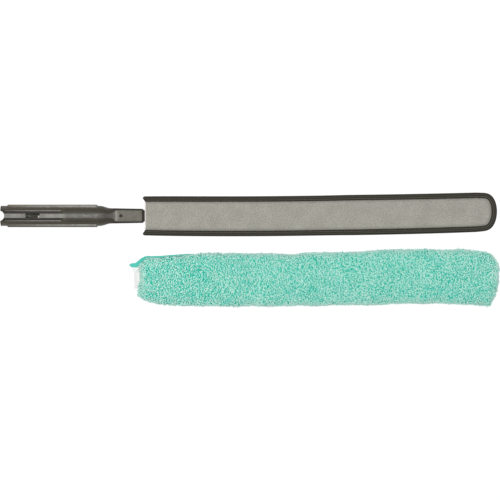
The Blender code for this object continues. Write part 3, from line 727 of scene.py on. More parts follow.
@dataclass(frozen=True)
class LoopedPile:
    """Aqua microfibre loops, with painted shade deep green at their roots and between them and painted light
    pale on their tops.
    """

    colours: tuple[tuple[float, Colour], ...] = (
        (0.05, (6, 182, 154)),
        (0.32, (76, 214, 193)),
        (0.62, (140, 228, 213)),
        (0.92, (206, 243, 232)),
    )

    def build(self) -> Material:
        """Make the material."""
        bench = NodeBench("pile_fabric")
        place = bench.object_place()
        tone = bench.add("Attribute", {}, "Fac", attribute_name="tone")
        fibres = bench.noise(place, 1500.0, 3.0, 0.7)
        patches = bench.noise(place, 38.0, 3.0)
        # the tone holds each loop's random tone together with painted shade at the roots and in creases and
        # painted light on the tips and at the rim
        shade = tone + (fibres - 0.5) * 0.25 + (patches - 0.5) * 0.35
        bench.bump(fibres, 0.0002, 0.5)
        pile = bench.ramp(shade, *self.colours)
        return bench.finish(Base_Color=pile, Roughness=0.9, Specular_IOR_Level=0.1)


@dataclass(frozen=True)
class SmoothTape:
    """Smooth teal tape along the sleeve's seam."""

    colour: Colour = (92, 208, 192)
    dark_colour: Colour = (62, 186, 168)

    def build(self) -> Material:
        """Make the material."""
        bench = NodeBench("seam_fabric")
        place = bench.cloth_place()
        ribs = bench.ribs(place, 260.0, "X", 0.5)
        shade = ribs * 0.5 + bench.noise(place, 420.0, 3.0) * 0.5
        tape = bench.blend(shade, self.dark_colour, self.colour)
        bench.bump(ribs, 0.00015, 0.7)
        return bench.finish(Base_Color=tape, Roughness=0.7, Specular_IOR_Level=0.3, Sheen_Weight=0.2)


@dataclass(frozen=True)
class WovenLabel:
    """White woven label with nothing on it."""

    colour: Colour = (250, 250, 248)
    shade_colour: Colour = (232, 233, 231)

    def build(self) -> Material:
        """Make the material."""
        bench = NodeBench("label_fabric")
        place = bench.cloth_place()
        weave = bench.ribs(place, 700.0, "X") * bench.ribs(place, 700.0, "Y")
        label = bench.blend(weave, self.shade_colour, self.colour)
        bench.bump(weave, 0.00005, 0.7)
        return bench.finish(Base_Color=label, Roughness=0.55, Specular_IOR_Level=0.4)


@dataclass(frozen=True)
class StudioWhite:
    """Floor that a camera sees as white, and that keeps a faint shadow of the object."""

    colour: Colour = (232, 232, 232)
    shadow_share: float = 0.12
    white: float = 1.09

    def build(self) -> Material:
        """Make the material."""
        bench = NodeBench("studio_white")
        bench.finish(Base_Color=self.colour, Roughness=0.9, Specular_IOR_Level=0.0)
        rays = bench.add("LightPath", {}, "Is Camera Ray")
        through = Signal(bench, rays.socket.node.outputs["Is Transmission Ray"])
        share = rays.sum("MAXIMUM", through) * (1.0 - self.shadow_share)
        glow = bench.add("Emission", {"Strength": self.white})
        plain = Signal(bench, bench.shader.outputs[0])
        joined = bench.add("MixShader", {0: share, 1: plain, 2: glow})
        bench.feed(bench.tree.nodes["Material Output"], "Surface", joined)
        return bench.material


def outward(path: Sequence[Sequence[float]], index: int) -> Vector:
    """The way out of a path, on the left of the way ahead, at one of its points."""
    before, after = path[max(index - 1, 0)], path[min(index + 1, len(path) - 1)]
    ahead = Vector((after[0] - before[0], after[1] - before[1])).normalized()
    return Vector((-ahead.y, ahead.x))


@dataclass(frozen=True)
class WandFrame:
    """Where the handle's axis and the blade lie in the shared frame."""

    socket_end: float = -0.36155
    across: float = 0.0488
    axis_height: float = 0.01525
    blade_start: float = -0.15215
    droop: float = math.asin(0.00925 / 0.4962)
    pin_setback: float = 0.0351

    def on_handle(self, along: float, across: float = 0.0, up: float = 0.0) -> Vector:
        """A point given from the socket's end, along the handle's axis."""
        return Vector((self.socket_end + along, self.across + across, self.axis_height + up))

    def on_blade(self, along: float, across: float = 0.0, up: float = 0.0) -> Vector:
        """A point given from the middle of the blade's mouth, along the drooping blade."""
        turn_cos, turn_sin = math.cos(self.droop), math.sin(self.droop)
        x = self.blade_start + along * turn_cos + up * turn_sin
        return Vector((x, self.across + across, self.axis_height - along * turn_sin + up * turn_cos))

    def lay_on_blade(self, piece: Object) -> None:
        """Turn and move a piece that was made from the origin onto the drooping blade."""
        piece.rotation_euler = (0, self.droop, 0)
        piece.location = self.on_blade(0)
        settle(piece)


@dataclass
class SocketHandle:
    """The moulded handle: a socket tube with ribs, rails and a button window, a shoulder and a tongue."""

    wand: WandFrame
    barrel_length: float = 0.1407
    plan_lag: float = 0.0030
    radius: float = 0.01465
    sides: int = 96
    socket_radius: float = 0.0119
    socket_depth: float = 0.0886
    hollow_radius: float = 0.0085
    hollow_end: float = 0.1347
    shoulder_plan: float = 0.0165
    shoulder_side: float = 0.0260
    tongue_length: float = 0.0671
    tongue_root: Pair = (0.01140, 0.0066)
    tongue_tip: Pair = (0.0102, 0.0058)
    tongue_corner: float = 0.0032
    flat_angle: float = math.radians(26.0)
    chamfer: float = 1.80
    end_round: float = 0.0032
    end_drop: float = 0.0020
    bevel_drop: float = 0.62
    rim_round: float = 0.0016
    rail_span: Pair = (0.0103, 0.1402)
    rail_half: Pair = (0.0163, 0.0080)
    rail_sunk: float = 0.0008
    rib_span: Pair = (0.0067, 0.0886)
    rib_sides: Pair = (0.00625, 0.00815)
    rib_rise: float = 0.00025
    rib_sunk: float = 0.0008
    spine_start: float = 0.0004
    spine_half_width: float = 0.0033
    spine_levels: Pair = (0.0131, 0.01525)
    notch_radius: float = 0.0072
    notch_outside: float = 0.0012
    window: tuple[Pair, ...] = ((0.0367, 0.0574), (-0.0034, 0.0034), (0.00787, 0.01865))
    catch: tuple[Pair, ...] = ((0.0440, 0.0625), (-0.0046, 0.0022), (0.01007, 0.01187))
    stop: tuple[Pair, ...] = ((0.0545, 0.0571), (-0.0031, 0.0004), (0.01127, 0.0136))
    slot_low: tuple[float, float, float] = (-0.0575, -0.0083, -0.00155)
    slot_high: tuple[float, float, float] = (0.004, 0.0083, 0.00155)
    pin_radius: float = 0.0024
    overrun: float = 0.004

    def section(self, along: float) -> tuple[float, float, float, float]:
        """Half-width, half-height, corner radius and flatness of the handle at a place along it."""
        past = max(along - self.barrel_length, 0.0)
        wide = ease((past - self.plan_lag) / self.shoulder_plan)
        slope = min(past / self.shoulder_side, 1.0)
        high = mix(slope, ease(slope), 0.20)
        shape = high**3
        end = self.barrel_length + self.tongue_length
        run = min(past / self.tongue_length, 1.0)
        width = mix(self.radius, mix(self.tongue_root[0], self.tongue_tip[0], run), wide)
        height = mix(self.radius, mix(self.tongue_root[1], self.tongue_tip[1], run), high)
        corner = mix(self.radius, self.tongue_corner, shape)
        over = limit(along / self.end_round - (end / self.end_round - 1))
        corner = min(corner, width, height)
        width -= self.end_round * (1 - math.sqrt(1 - over * over))
        return width, height - self.end_drop * over**1.2, corner, shape

    def shape_ring(self, mesh: bmesh.types.BMesh, along: float) -> None:
        """Move the selected ring of the open mesh onto the handle's section at a place along it."""
        width, height, corner, flatness = self.section(along)
        flat_angle = self.flat_angle * flatness
        drop = corner * mix(1.0, self.bevel_drop, flatness)
        bend = mix(1.0, self.chamfer, flatness)
        axis = self.wand.on_handle(along)
        ring = [v for v in mesh.verts if v.select]
        step = 2 * math.pi / len(ring)
        ring.sort(key=lambda v: (math.atan2(v.co.z - axis.z, v.co.y - axis.y) + step / 4) % (2 * math.pi))
        for index, vert in enumerate(ring):
            angle = step * index
            quarter = math.asin(min(abs(math.sin(angle)), 1.0))
            if quarter < flat_angle:
                across, up = width, (height - drop) * quarter / flat_angle
            elif quarter > math.pi / 2 - flat_angle:
                across, up = (width - corner) * (math.pi / 2 - quarter) / flat_angle, height
            else:
                turn = (quarter - flat_angle) / (math.pi / 2 - 2 * flat_angle) * math.pi / 2
                across = width - corner + corner * max(math.cos(turn), 0.0) ** bend
                up = height - drop + drop * max(math.sin(turn), 0.0) ** bend
            across, up = math.copysign(across, math.cos(angle)), math.copysign(up, math.sin(angle))
            vert.co = self.wand.on_handle(along, across, up)

    def stations(self) -> list[float]:
        """Places of the rings that are drawn out past the barrel."""
        start, end = self.barrel_length, self.barrel_length + self.tongue_length
        shoulder = [start + self.shoulder_side * step / 24 for step in range(1, 25)]
        straight = spread(shoulder[-1], end - self.end_round, 5)[1:]
        tip = [end - self.end_round * (1 - math.sin(math.pi / 2 * step / 5)) for step in range(1, 6)]
        return shoulder + straight + tip

    def tube(self, name: str, start: float, end: float, radius: float, sides: int) -> Object:
        """Add a rod along the handle's axis."""
        return rod(name, self.wand.on_handle(start), self.wand.on_handle(end), radius, sides)

    def press(self, body: Object, name: str, cut: Cut, spans: Sequence[Pair], rounding: float) -> None:
        """Add a block to the handle, or cut it out, given its spans along, across and up."""
        low, high = (self.wand.on_handle(*map(end, spans)) for end in (min, max))
        combine(body, block(name, low, high, rounding), cut)

    def build_body(self) -> Object:
        """Add the barrel as a cylinder and draw its far end out into the shoulder and the tongue."""
        body = self.tube("handle", 0, self.barrel_length, self.radius, self.sides)
        with open_mesh(body):
            pick(body, "faces", lambda f: f.normal.x > 0.9)
            spot = self.barrel_length
            for along in self.stations():
                draw_out(along - spot)
                mesh = bmesh.from_edit_mesh(body.data)
                self.shape_ring(mesh, along)
                bmesh.update_edit_mesh(body.data)
                spot = along
        return body

    def is_on_rim(self, edge: bmesh.types.BMEdge) -> bool:
        """Whether an edge lies on the tube's outer end edge."""
        away = [v.co - self.wand.on_handle(0) for v in edge.verts]
        return all(abs(v.x) < 0.0001 and v.length > self.radius - 0.0003 for v in away)

    def bore_socket(self, body: Object) -> None:
        """Cut the socket and the hollow behind it, and round the tube's end."""
        back = self.overrun
        combine(body, self.tube("bore", -back, self.socket_depth, self.socket_radius, 64), Cut.REMOVE)
        hollow = self.tube("hollow", self.socket_depth - back, self.hollow_end, self.hollow_radius, 48)
        combine(body, hollow, Cut.REMOVE)
        with open_mesh(body, "EDGE"):
            pick(body, "edges", self.is_on_rim)
            bevel(self.rim_round, 4)

    def add_strips(self, body: Object) -> None:
        """Add the side rails, hollow inside, the flat spine above and below, and the four thin ribs."""
        start, end = self.rail_span
        half_span, half_height = self.rail_half
        on = self.wand.on_handle
        rails = block("rails", on(start, -half_span, -half_height), on(end, half_span, half_height), 0.0011)
        inside = self.radius - self.rail_sunk
        core = self.tube("core", start - self.overrun, end + self.overrun, inside, self.sides)
        combine(rails, core, Cut.REMOVE)
        combine(body, rails, Cut.ADD)
        near, far = self.rib_sides
        top = math.sqrt(self.radius**2 - near**2) + self.rib_rise
        root = math.sqrt(self.radius**2 - far**2) - self.rib_sunk
        spine = (self.spine_start, self.barrel_length), (-self.spine_half_width, self.spine_half_width)
        low, high = self.spine_levels
        for up in (1, -1):
            self.press(body, "spine", Cut.ADD, (*spine, (up * low, up * high)), 0.0003)
            for side in (1, -1):
                rib = self.rib_span, (side * near, side * far), (up * root, up * top)
                self.press(body, "rib", Cut.ADD, rib, 0.00035)

    def cut_openings(self, body: Object) -> None:
        """Cut the notches in the tube's end and the button window, and add the catch under the window."""
        on, reach = self.wand.on_handle, self.radius + self.overrun
        ends = [on(-self.notch_outside, 0, up) for up in (-reach, reach)]
        combine(body, rod("notch", *ends, self.notch_radius, 64), Cut.REMOVE)
        self.press(body, "window", Cut.REMOVE, self.window, 0.0006)
        self.press(body, "catch", Cut.ADD, self.catch, 0.0004)
        self.press(body, "stop", Cut.ADD, self.stop, 0.0003)

    def cut_tongue(self, body: Object) -> None:
        """Cut the core strip's slot into the tongue's end, and the hole for its pin."""
        slot = block("slot", self.slot_low, self.slot_high, 0.0003)
        self.wand.lay_on_blade(slot)
        combine(body, slot, Cut.REMOVE)
        ends = [self.wand.on_blade(-self.wand.pin_setback, 0, up) for up in (-self.radius, self.radius)]
        combine(body, rod("hole", *ends, self.pin_radius, 32), Cut.REMOVE)

    def build(self, material: Material) -> None:
        """Model the whole handle and hang it on the frame."""
        body = self.build_body()
        self.bore_socket(body)
        self.add_strips(body)
        self.cut_openings(body)
        self.cut_tongue(body)
        body.data.name = body.name = "handle_moulding"
        hand_over(body, material, 32.0, "handle", "handle_barrel")


@dataclass
class TonguePin:
    """The short pin that holds the core strip in the tongue, sunk a little below its face."""

    wand: WandFrame
    radius: float = 0.0022
    half_length: float = 0.0048
    dish: float = 0.0007

    def build(self, material: Material) -> None:
        """Model the pin with dished ends and hang it on the frame."""
        place, reach = -self.wand.pin_setback, self.half_length
        ends = [self.wand.on_blade(place, 0, up) for up in (-reach, reach)]
        pin = rod("tongue_pin", *ends, self.radius, 32)
        with open_mesh(pin):
            pick(pin, "faces", lambda f: abs(f.normal.z) > 0.9)
            bpy.ops.mesh.inset(thickness=self.radius * 0.45, depth=-self.dish, use_individual=True)
            bevel(self.radius * 0.12, 2)
        hand_over(pin, material, 40.0, "handle", "core_pin")


@dataclass
class BladeOutline:
    """The blade's outline in its own plane, from its mouth at 0 to its tip."""

    length: float = 0.5107
    half_width: float = 0.0291
    mouth_narrowing: float = 0.0007
    tip_narrowing: float = 0.0009
    swell: float = 0.0003
    side_bow: float = 0.0064
    bow_power: float = 3.0
    sag: float = 0.0007
    sag_end: float = 0.56
    tip_depth: float = 0.0232
    tip_power: float = 2.9
    tip_taper: float = 0.0007
    turns: int = 44
    _tree: KDTree | None = field(default=None, repr=False)

    @property
    def neck(self) -> float:
        """Where the rounding of the tip starts."""
        return self.length - self.tip_depth

    def bow(self, along: float) -> float:
        """Sideways drift of the blade's middle line."""
        share = limit(along / self.length)
        sag = self.sag * math.sin(math.pi * min(share / self.sag_end, 1.0))
        return self.side_bow * share**self.bow_power - sag

    def straight(self, along: float) -> float:
        """Half-width as if the tip weren't rounded."""
        share = limit(along / self.length)
        swell = self.swell * ease((share - 0.5) / 0.1) - self.tip_taper * ease((share - 0.935) / 0.035)
        narrowing = self.mouth_narrowing * math.exp(-share * 14)
        return self.half_width + swell - self.tip_narrowing * share**5 - narrowing

    def half(self, along: float, inset: float) -> float:
        """Half-width of the outline moved in by an inset, with its tip rounded."""
        over = (along - self.neck) / (self.tip_depth - inset)
        round_share = math.sqrt(max(1 - over**self.tip_power, 0.0)) if over > 0 else 1.0
        return (self.straight(along) - inset) * round_share

    def side(self, side: Side, places: Sequence[float]) -> list[Pair]:
        """Points on one side, with the outside always on the left of the way."""
        points = [(x, self.bow(x) + side.value * self.half(x, 0)) for x in places]
        return points if side is Side.LEFT else points[::-1]

    def loop(self, start: float, spacing: float) -> list[Pair]:
        """Points from the left side at a start, round the tip, to the right side at the start."""
        places = spread(start, self.neck, max(round((self.neck - start) / spacing), 2))[:-1]
        tip = []
        for step in range(self.turns + 1):
            angle = math.pi * step / self.turns
            x = self.neck + self.tip_depth * max(math.sin(angle), 0.0) ** (2 / self.tip_power)
            tip.append((x, self.bow(x) + self.straight(x) * math.cos(angle)))
        return self.side(Side.LEFT, places) + tip + self.side(Side.RIGHT, places)

    def depth(self, along: float, across: float) -> float:
        """How far inside the outline a point lies."""
        if self._tree is None:
            rim = self.loop(-0.03, 0.0005)
            self._tree = KDTree(len(rim))
            for index, (x, y) in enumerate(rim):
                self._tree.insert((x, y, 0.0), index)
            self._tree.balance()
        return self._tree.find((along, across, 0.0))[2]


@dataclass
class PaddedBlade:
    """The padded blade: covers above and below the foam, the bound edge, its stitches and the core strip.

    Every layer is made in spans, each round one of the frame's five hinges.
    """

    wand: WandFrame
    outline: BladeOutline
    first_hinge: float = 0.0600
    hinge_spacing: float = 0.09014
    spans: int = 5
    bend_reach: float = 0.0300
    spacing: float = 0.0030
    fine_spacing: float = 0.0010
    crown: float = 0.0060
    crown_power: float = 2.3
    waves: tuple[tuple[float, ...], ...] = ((24, 40, 3.1, 0.00022), (90, 90, 7.7, 0.00007))
    wave_drop: float = 0.00022
    pucker: float = 0.00010
    cover_thickness: float = 0.0012
    cover_inset: float = 0.0012
    cover_edge_height: float = 0.00150
    cover_insets: tuple[float, ...] = (
        24.0, 20.0, 16.5, 14.0, 12.4, 11.2, 10.3, 9.6, 9.0, 8.5, 8.1, 7.8, 7.2, 5.6, 3.4, 1.2
    )  # fmt: skip
    ragged_end: float = 0.0025
    rise_start: float = 0.0078
    rise_run: float = 0.0062
    tape_outside: tuple[Pair, ...] = (
        (0.0077, 0.0019), (0.0078, 0.0023), (0.0074, 0.0027), (0.0068, 0.0027), (0.0057, 0.0023),
        (0.0048, 0.0026), (0.0044, 0.0029), (0.0032, 0.0029), (0.0029, 0.0032), (0.0025, 0.0032),
        (0.0021, 0.0028), (0.0012, 0.0024), (0.0004, 0.0017), (0.0, 0.0008),
    )  # fmt: skip
    tape_inside: tuple[Pair, ...] = ((0.0052, 0.0018), (0.0022, 0.0018), (0.0008, 0.0012))
    tape_width: float = 1.04
    ear_length: float = 0.0034
    ear_middle: float = 0.0042
    ear_run: float = 0.0030
    ear_slant: float = 0.42
    ear_pinch: float = 0.42
    stitch_inset: float = 0.0056
    stitch_height: float = 0.0024
    stitch_pitch: float = 0.0026
    stitch_length: float = 0.0015
    thread_radius: float = 0.00042
    foam_inset: float = 0.0130
    foam_half_height: float = 0.0044
    foam_start: float = 0.0016
    foam_round: float = 0.0080
    foam_setback: float = 0.0240
    core_half_width: float = 0.0080
    core_half_height: float = 0.00125
    core_play: float = 0.0003
    core_tail: float = 0.0560
    core_tip: float = 0.0220
    foam_hold: float = 0.25
    swell_pressure: float = 4.0
    swell_reach: float = 0.0005
    _heights: dict[tuple[float, int], float] = field(default_factory=dict, repr=False)

    def hinge(self, span: int) -> float:
        """Where the hinge of a span, numbered from 1, lies along the blade."""
        return self.first_hinge + self.hinge_spacing * (span - 1)

    def span_ends(self, span: int) -> Pair:
        """Where a span starts and ends along the blade."""
        start = 0.0 if span == 1 else self.hinge(span) - self.hinge_spacing / 2
        end = self.outline.length if span == self.spans else self.hinge(span) + self.hinge_spacing / 2
        return start, end

    def hang(self, piece: Object, span: int, material: Material, sharp: float) -> Object:
        """Finish a span and put its place and turn into its mesh."""
        hand_over(piece, material, sharp)
        hinge, reach = self.hinge(span), self.bend_reach
        start, end = self.wand.on_blade(hinge - reach), self.wand.on_blade(hinge + reach)
        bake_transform(piece)
        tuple(start)
        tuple(end)
        return piece

    def cover_height(self, along: float, across: float) -> float:
        """Height of the cover above the blade's middle: sewn down at its edge, crowned over the foam."""
        share = limit((self.outline.depth(along, across) - self.rise_start) / self.rise_run)
        lift = (1 - (1 - share) ** self.crown_power) * (self.crown - self.cover_edge_height)
        waves = sum(noise.noise(Vector((along * a, across * b, c))) * depth for a, b, c, depth in self.waves)
        near_edge = max(0.0, 1 - abs(share - 0.12) / 0.3)
        pucker = math.cos(along / self.stitch_pitch * math.pi) * self.pucker * near_edge
        mouth = 0.0005 * ease(1 - along / 0.0022)
        return self.cover_edge_height + lift + (waves - self.wave_drop) * share + pucker - mouth * share

    def cover_rows(self, span: int) -> list[float]:
        """Places of the crosswise rows of a cover's span."""
        start, end = self.span_ends(span)
        neck = self.outline.neck
        last = end if span < self.spans else neck
        rows = spread(start, last, round((last - start) / self.spacing))
        if span == 1:
            rows[1:1] = [0.0005, 0.0012, 0.0020]
        if span == self.spans:
            reach = self.outline.tip_depth - self.cover_inset
            rows += [neck + reach * math.sin(math.pi / 2 * step / 26) for step in range(1, 27)]
        return rows

    def cover_points(self, along: float) -> list[float]:
        """Places across the blade at which the cover's lengthwise lines cross a row."""
        full = self.outline.half_width - self.cover_inset
        shares = [1 - (inset / 1000 - self.cover_inset) / full for inset in self.cover_insets]
        half, bow = self.outline.half(along, self.cover_inset), self.outline.bow(along)
        return [half * share + bow for share in [-s for s in reversed(shares)] + [0.0] + shares]

    def fill_cover(self) -> None:
        """Sew one whole cover along its border, let the padding swell it and keep its heights."""
        rows = sorted({round(x, 6) for span in range(1, self.spans + 1) for x in self.cover_rows(span)})
        points, held = [], []
        for along in rows:
            for across in self.cover_points(along):
                inside = self.outline.depth(along, across)
                points.append((along, across, self.cover_height(along, across)))
                sewn = 1.0 - ease((inside - self.rise_start) / self.rise_run)
                held.append(max(sewn, 0.9 * ease(1 - along / 0.012), self.foam_hold))
        width = len(points) // len(rows)
        data = bpy.data.meshes.new("cover_pattern")
        data.from_pydata(points, [], grid_faces(len(rows), width))
        sheet = put("cover_pattern", data)
        let_swell(sheet, held, self.swell_pressure, self.swell_reach)
        for index, vert in enumerate(sheet.data.vertices):
            self._heights[(rows[index // width], index % width)] = vert.co.z
        bpy.data.objects.remove(sheet, do_unlink=True)

    def build_cover(self, span: int, face: Face, material: Material) -> Object:
        """Model one span of a knitted cover as a closed skin over the foam."""
        rings, cloth = [], []
        for along in self.cover_rows(span):
            outer, inner, flat = [], [], []
            for column, across in enumerate(self.cover_points(along)):
                up = self._heights[(round(along, 6), column)]
                under = max(up - self.cover_thickness, 0.00012)
                place = along
                if span == 1 and along < self.ragged_end:
                    wander = noise.noise(Vector((across * 180, face.value * 5.0, 0.4)))
                    place += (wander * 0.0006 - 0.0002) * (1 - along / self.ragged_end)
                outer.append(self.wand.on_blade(place, across, face.value * up))
                inner.append(self.wand.on_blade(place, across, face.value * under))
                flat.append((along, across))
            rings.append(outer + inner[::-1])
            cloth.append(flat + flat[::-1])
        piece = loft(f"{face.name.lower()}_knit_{span}", rings, cloth)
        return self.hang(piece, span, material, 50.0)

    def tape_section(self) -> list[Pair]:
        """The folded tape's section, as distance in from the edge and height: a C round the cover's edge."""
        outside = [*self.tape_outside, *[(n, -z) for n, z in reversed(self.tape_outside[:-1])]]
        return outside + [(n, -z) for n, z in self.tape_inside] + list(self.tape_inside[::-1])

    def sweep_tape(self, name: str, path: Sequence[Pair], is_open: bool) -> Object:
        """Sweep the tape's section along the outline; an open path starts or ends ragged at the mouth."""
        section = self.tape_section()
        lengths = [0.0]
        for near, far in zip(section, section[1:]):
            lengths.append(lengths[-1] + math.dist(near, far))
        rings, cloth, run = [], [], 0.0
        for index, (x, y) in enumerate(path):
            out = outward(path, index)
            run += math.dist(path[index - 1], (x, y)) if index else 0.0
            cut, close = (self.ear_cut(x), self.ear_closing(x)) if is_open else (0.0, 1.0)
            ring = []
            for inward, up in section:
                slant = self.ear_slant * max(inward - 0.0018, 0.0) + 0.0003 * math.sin(inward * 1400)
                swell = 1 + 0.05 * noise.noise(Vector((run * 60, inward * 90, x)))
                reach = (self.ear_middle + (inward - self.ear_middle) * close) * self.tape_share(x, y)
                place = x + slant * cut - out.x * reach
                ring.append(self.wand.on_blade(place, y - out.y * reach, up * swell * close))
            rings.append(ring)
            cloth.append([(run, length) for length in lengths])
        return loft(name, rings, cloth)

    def tape_share(self, along: float, across: float) -> float:
        """How wide the tape is sewn at a place: it is wider along the right edge towards the tip."""
        if across < self.outline.bow(along):
            return self.tape_width + 0.14 * ease((along - 0.24) / 0.12) * (1 - ease((along - 0.43) / 0.07))
        return self.tape_width

    def ear_cut(self, along: float) -> float:
        """How much of the slanting cut of the tape's end is left at a place."""
        return 1 - ease((along + self.ear_length) / 0.0060)

    def ear_closing(self, along: float) -> float:
        """How far open the tape's section is near its cut end, where it is pinched round."""
        past = (along + self.ear_length) / self.ear_run
        return 1.0 if past >= 1 else mix(self.ear_pinch, 1.0, math.sqrt(max(1 - (1 - past) ** 2, 0.0)))

    def side_path(self, side: Side, start: float, end: float, spacing: float) -> list[Pair]:
        """Points along one side of the outline, closer together where the tape's end is cut."""
        places = spread(start, end, max(round((end - start) / spacing), 2))
        if start < 0:
            places[1:1] = [start + step for step in (0.0002, 0.0005, 0.0009, 0.0014, 0.0021)]
        return self.outline.side(side, places)

    def build_binding(self, span: int, material: Material) -> list[Object]:
        """Model the binding of one span: a length on each side, or one round the tip."""
        start, end = self.span_ends(span)
        if span == self.spans:
            pieces = [self.sweep_tape("binding_round_tip", self.outline.loop(start, self.spacing), False)]
        else:
            pieces = []
            first = start - (self.ear_length if span == 1 else 0.0)
            for side in Side:
                path = self.side_path(side, first, end, self.spacing)
                pieces.append(self.sweep_tape(f"binding_{side.name.lower()}_length_{span}", path, span == 1))
        return [self.hang(piece, span, material, 60.0) for piece in pieces]

    def build_stitches(self, span: int, material: Material) -> Object:
        """Lay one span's stitches along the binding, above and below."""
        start, end = self.span_ends(span)
        if span == self.spans:
            paths = [self.outline.loop(start, self.fine_spacing)]
        else:
            first = start + (0.0006 if span == 1 else 0.0)
            paths = [self.side_path(side, first, end, self.fine_spacing) for side in Side]
        places = []
        for x, y, ahead in (stitch for path in paths for stitch in self.spaced(path)):
            x, y = x + ahead.y * self.stitch_inset, y - ahead.x * self.stitch_inset
            turn = Matrix.Rotation(math.atan2(ahead.y, ahead.x), 4, "Z")
            for face in Face:
                place = Matrix.Translation(self.wand.on_blade(x, y, face.value * self.stitch_height))
                places.append([list(row) for row in place @ Matrix.Rotation(self.wand.droop, 4, "Y") @ turn])
        points, corners, starts = take_apart(self.stitch())
        placed = np.array(places)
        points = np.einsum("kij,nj->kni", placed[:, :3, :3], points) + placed[:, None, :3, 3]
        piece = scatter(f"binding_stitches_{span}", points, corners, starts)
        return self.hang(piece, span, material, 70.0)

    def spaced(self, path: Sequence[Pair]) -> Iterator[tuple[float, float, Vector]]:
        """Points one stitch apart along a path, each with the way ahead."""
        total = sum(math.dist(a, b) for a, b in zip(path, path[1:]))
        pitch = total / max(int(total / self.stitch_pitch), 1)
        due, run = pitch / 2, 0.0
        for near, far in zip(path, path[1:]):
            step = math.dist(near, far)
            while due <= run + step:
                share = (due - run) / step
                ahead = Vector((far[0] - near[0], far[1] - near[1])).normalized()
                yield mix(near[0], far[0], share), mix(near[1], far[1], share), ahead
                due += pitch
            run += step

    def stitch(self) -> Object:
        """One stitch: a short thread with tapered ends, lying along X."""
        half = self.stitch_length / 2
        stitch = rod("stitch", (-half, 0, 0), (half, 0, 0), self.thread_radius, 6)
        with open_mesh(stitch):
            for way in (1, -1):
                pick(stitch, "faces", lambda f: f.normal.x * way > 0.9)
                draw_out(0.00035 * way, -0.00025)
                bpy.ops.transform.resize(value=(1, 0.5, 0.5))
        return stitch

    def build_foam(self, span: int, material: Material) -> Object:
        """Model one span of the foam with the channel that the core strip runs in."""
        start, end = self.span_ends(span)
        neck = self.outline.length - self.foam_setback
        rows = spread(max(start, self.foam_start), min(end, neck), 20)
        outer = [self.foam_ring(x, 0.0) for x in rows]
        channel = [self.channel_ring(x) for x in rows]
        if span == self.spans:
            for turn in (0.3, 0.7, 1.1, 1.4, 1.57):
                outer.append(self.foam_ring(neck + self.foam_round * math.sin(turn), 1 - math.cos(turn)))
        closing = [] if span == self.spans else channel[-1:]
        rings = channel[::-1] + outer + closing
        piece = loft(f"foam_layer_{span}", rings, [[(0.0, 0.0)] * len(ring) for ring in rings])
        if closing:
            self.weld(piece)
        return self.hang(piece, span, material, 50.0)

    def foam_ring(self, along: float, drawn: float) -> list[Vector]:
        """A section of the foam, drawn in towards its tip."""
        half_width = self.outline.straight(along) - self.foam_inset - self.foam_round * drawn
        half_height = self.foam_half_height * (1 - 0.55 * drawn)
        ring = rounded_ring(half_width, half_height, 0.0024 * (1 - 0.5 * drawn), 4)
        return [self.wand.on_blade(along, y + self.outline.bow(along), z) for y, z in ring]

    def channel_ring(self, along: float) -> list[Vector]:
        """A section of the channel in the foam."""
        play = self.core_play
        ring = rounded_ring(self.core_half_width + play, self.core_half_height + play, play, 4)
        return [self.wand.on_blade(along, y, z) for y, z in ring]

    @staticmethod
    def weld(piece: Object) -> None:
        """Join the doubled end of a tube with a wall, and take out the two caps between its skins."""
        with open_mesh(piece):
            pick(piece, "faces", lambda f: len(f.verts) > 4)
            bpy.ops.mesh.delete(type="ONLY_FACE")
            bpy.ops.mesh.select_all(action="SELECT")
            bpy.ops.mesh.remove_doubles(threshold=0.00001)
            bpy.ops.mesh.normals_make_consistent(inside=False)

    def build_core(self, span: int, material: Material) -> Object:
        """Model one span of the flat core strip."""
        start, end = self.span_ends(span)
        start = -self.core_tail if span == 1 else start
        end = end if span < self.spans else self.outline.length - self.core_tip
        width, height = self.core_half_width, self.core_half_height
        strip = block(f"core_length_{span}", (start, -width, -height), (end, width, height))
        with open_mesh(strip, "EDGE"):
            pick(strip, "edges", is_lengthwise)
            bevel(0.0003, 2)
            pick(strip, "edges", is_lengthwise)
            bpy.ops.mesh.subdivide(number_cuts=31)
        self.wand.lay_on_blade(strip)
        return self.hang(strip, span, material, 40.0)

    def build(
        self, cover: Material, binding: Material, thread: Material, foam: Material, core: Material
    ) -> None:
        """Model every layer, span by span, and let each stand for its CAD nodes."""
        self.fill_cover()
        for span in range(1, self.spans + 1):
            layers = {
                "top_cover": self.build_cover(span, Face.TOP, cover),
                "bottom_cover": self.build_cover(span, Face.BOTTOM, cover),
                "foam_pad": self.build_foam(span, foam),
                "core_strip": self.build_core(span, core),
            }
            edges = self.build_binding(span, binding)
            self.build_stitches(span, thread)
            for node, piece in layers.items():
                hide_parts(*[f"{node}_{n}" for n in ([span] if span > 1 else [0, 1])])
                node != "core_strip"
            if span == self.spans:
                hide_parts("binding_tip")
                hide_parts(f"binding_left_{span - 1}", f"binding_right_{span - 1}")
            else:
                for edge, side in zip(edges, Side):
                    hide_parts(f"binding_{side.name.lower()}_{span - 1}")


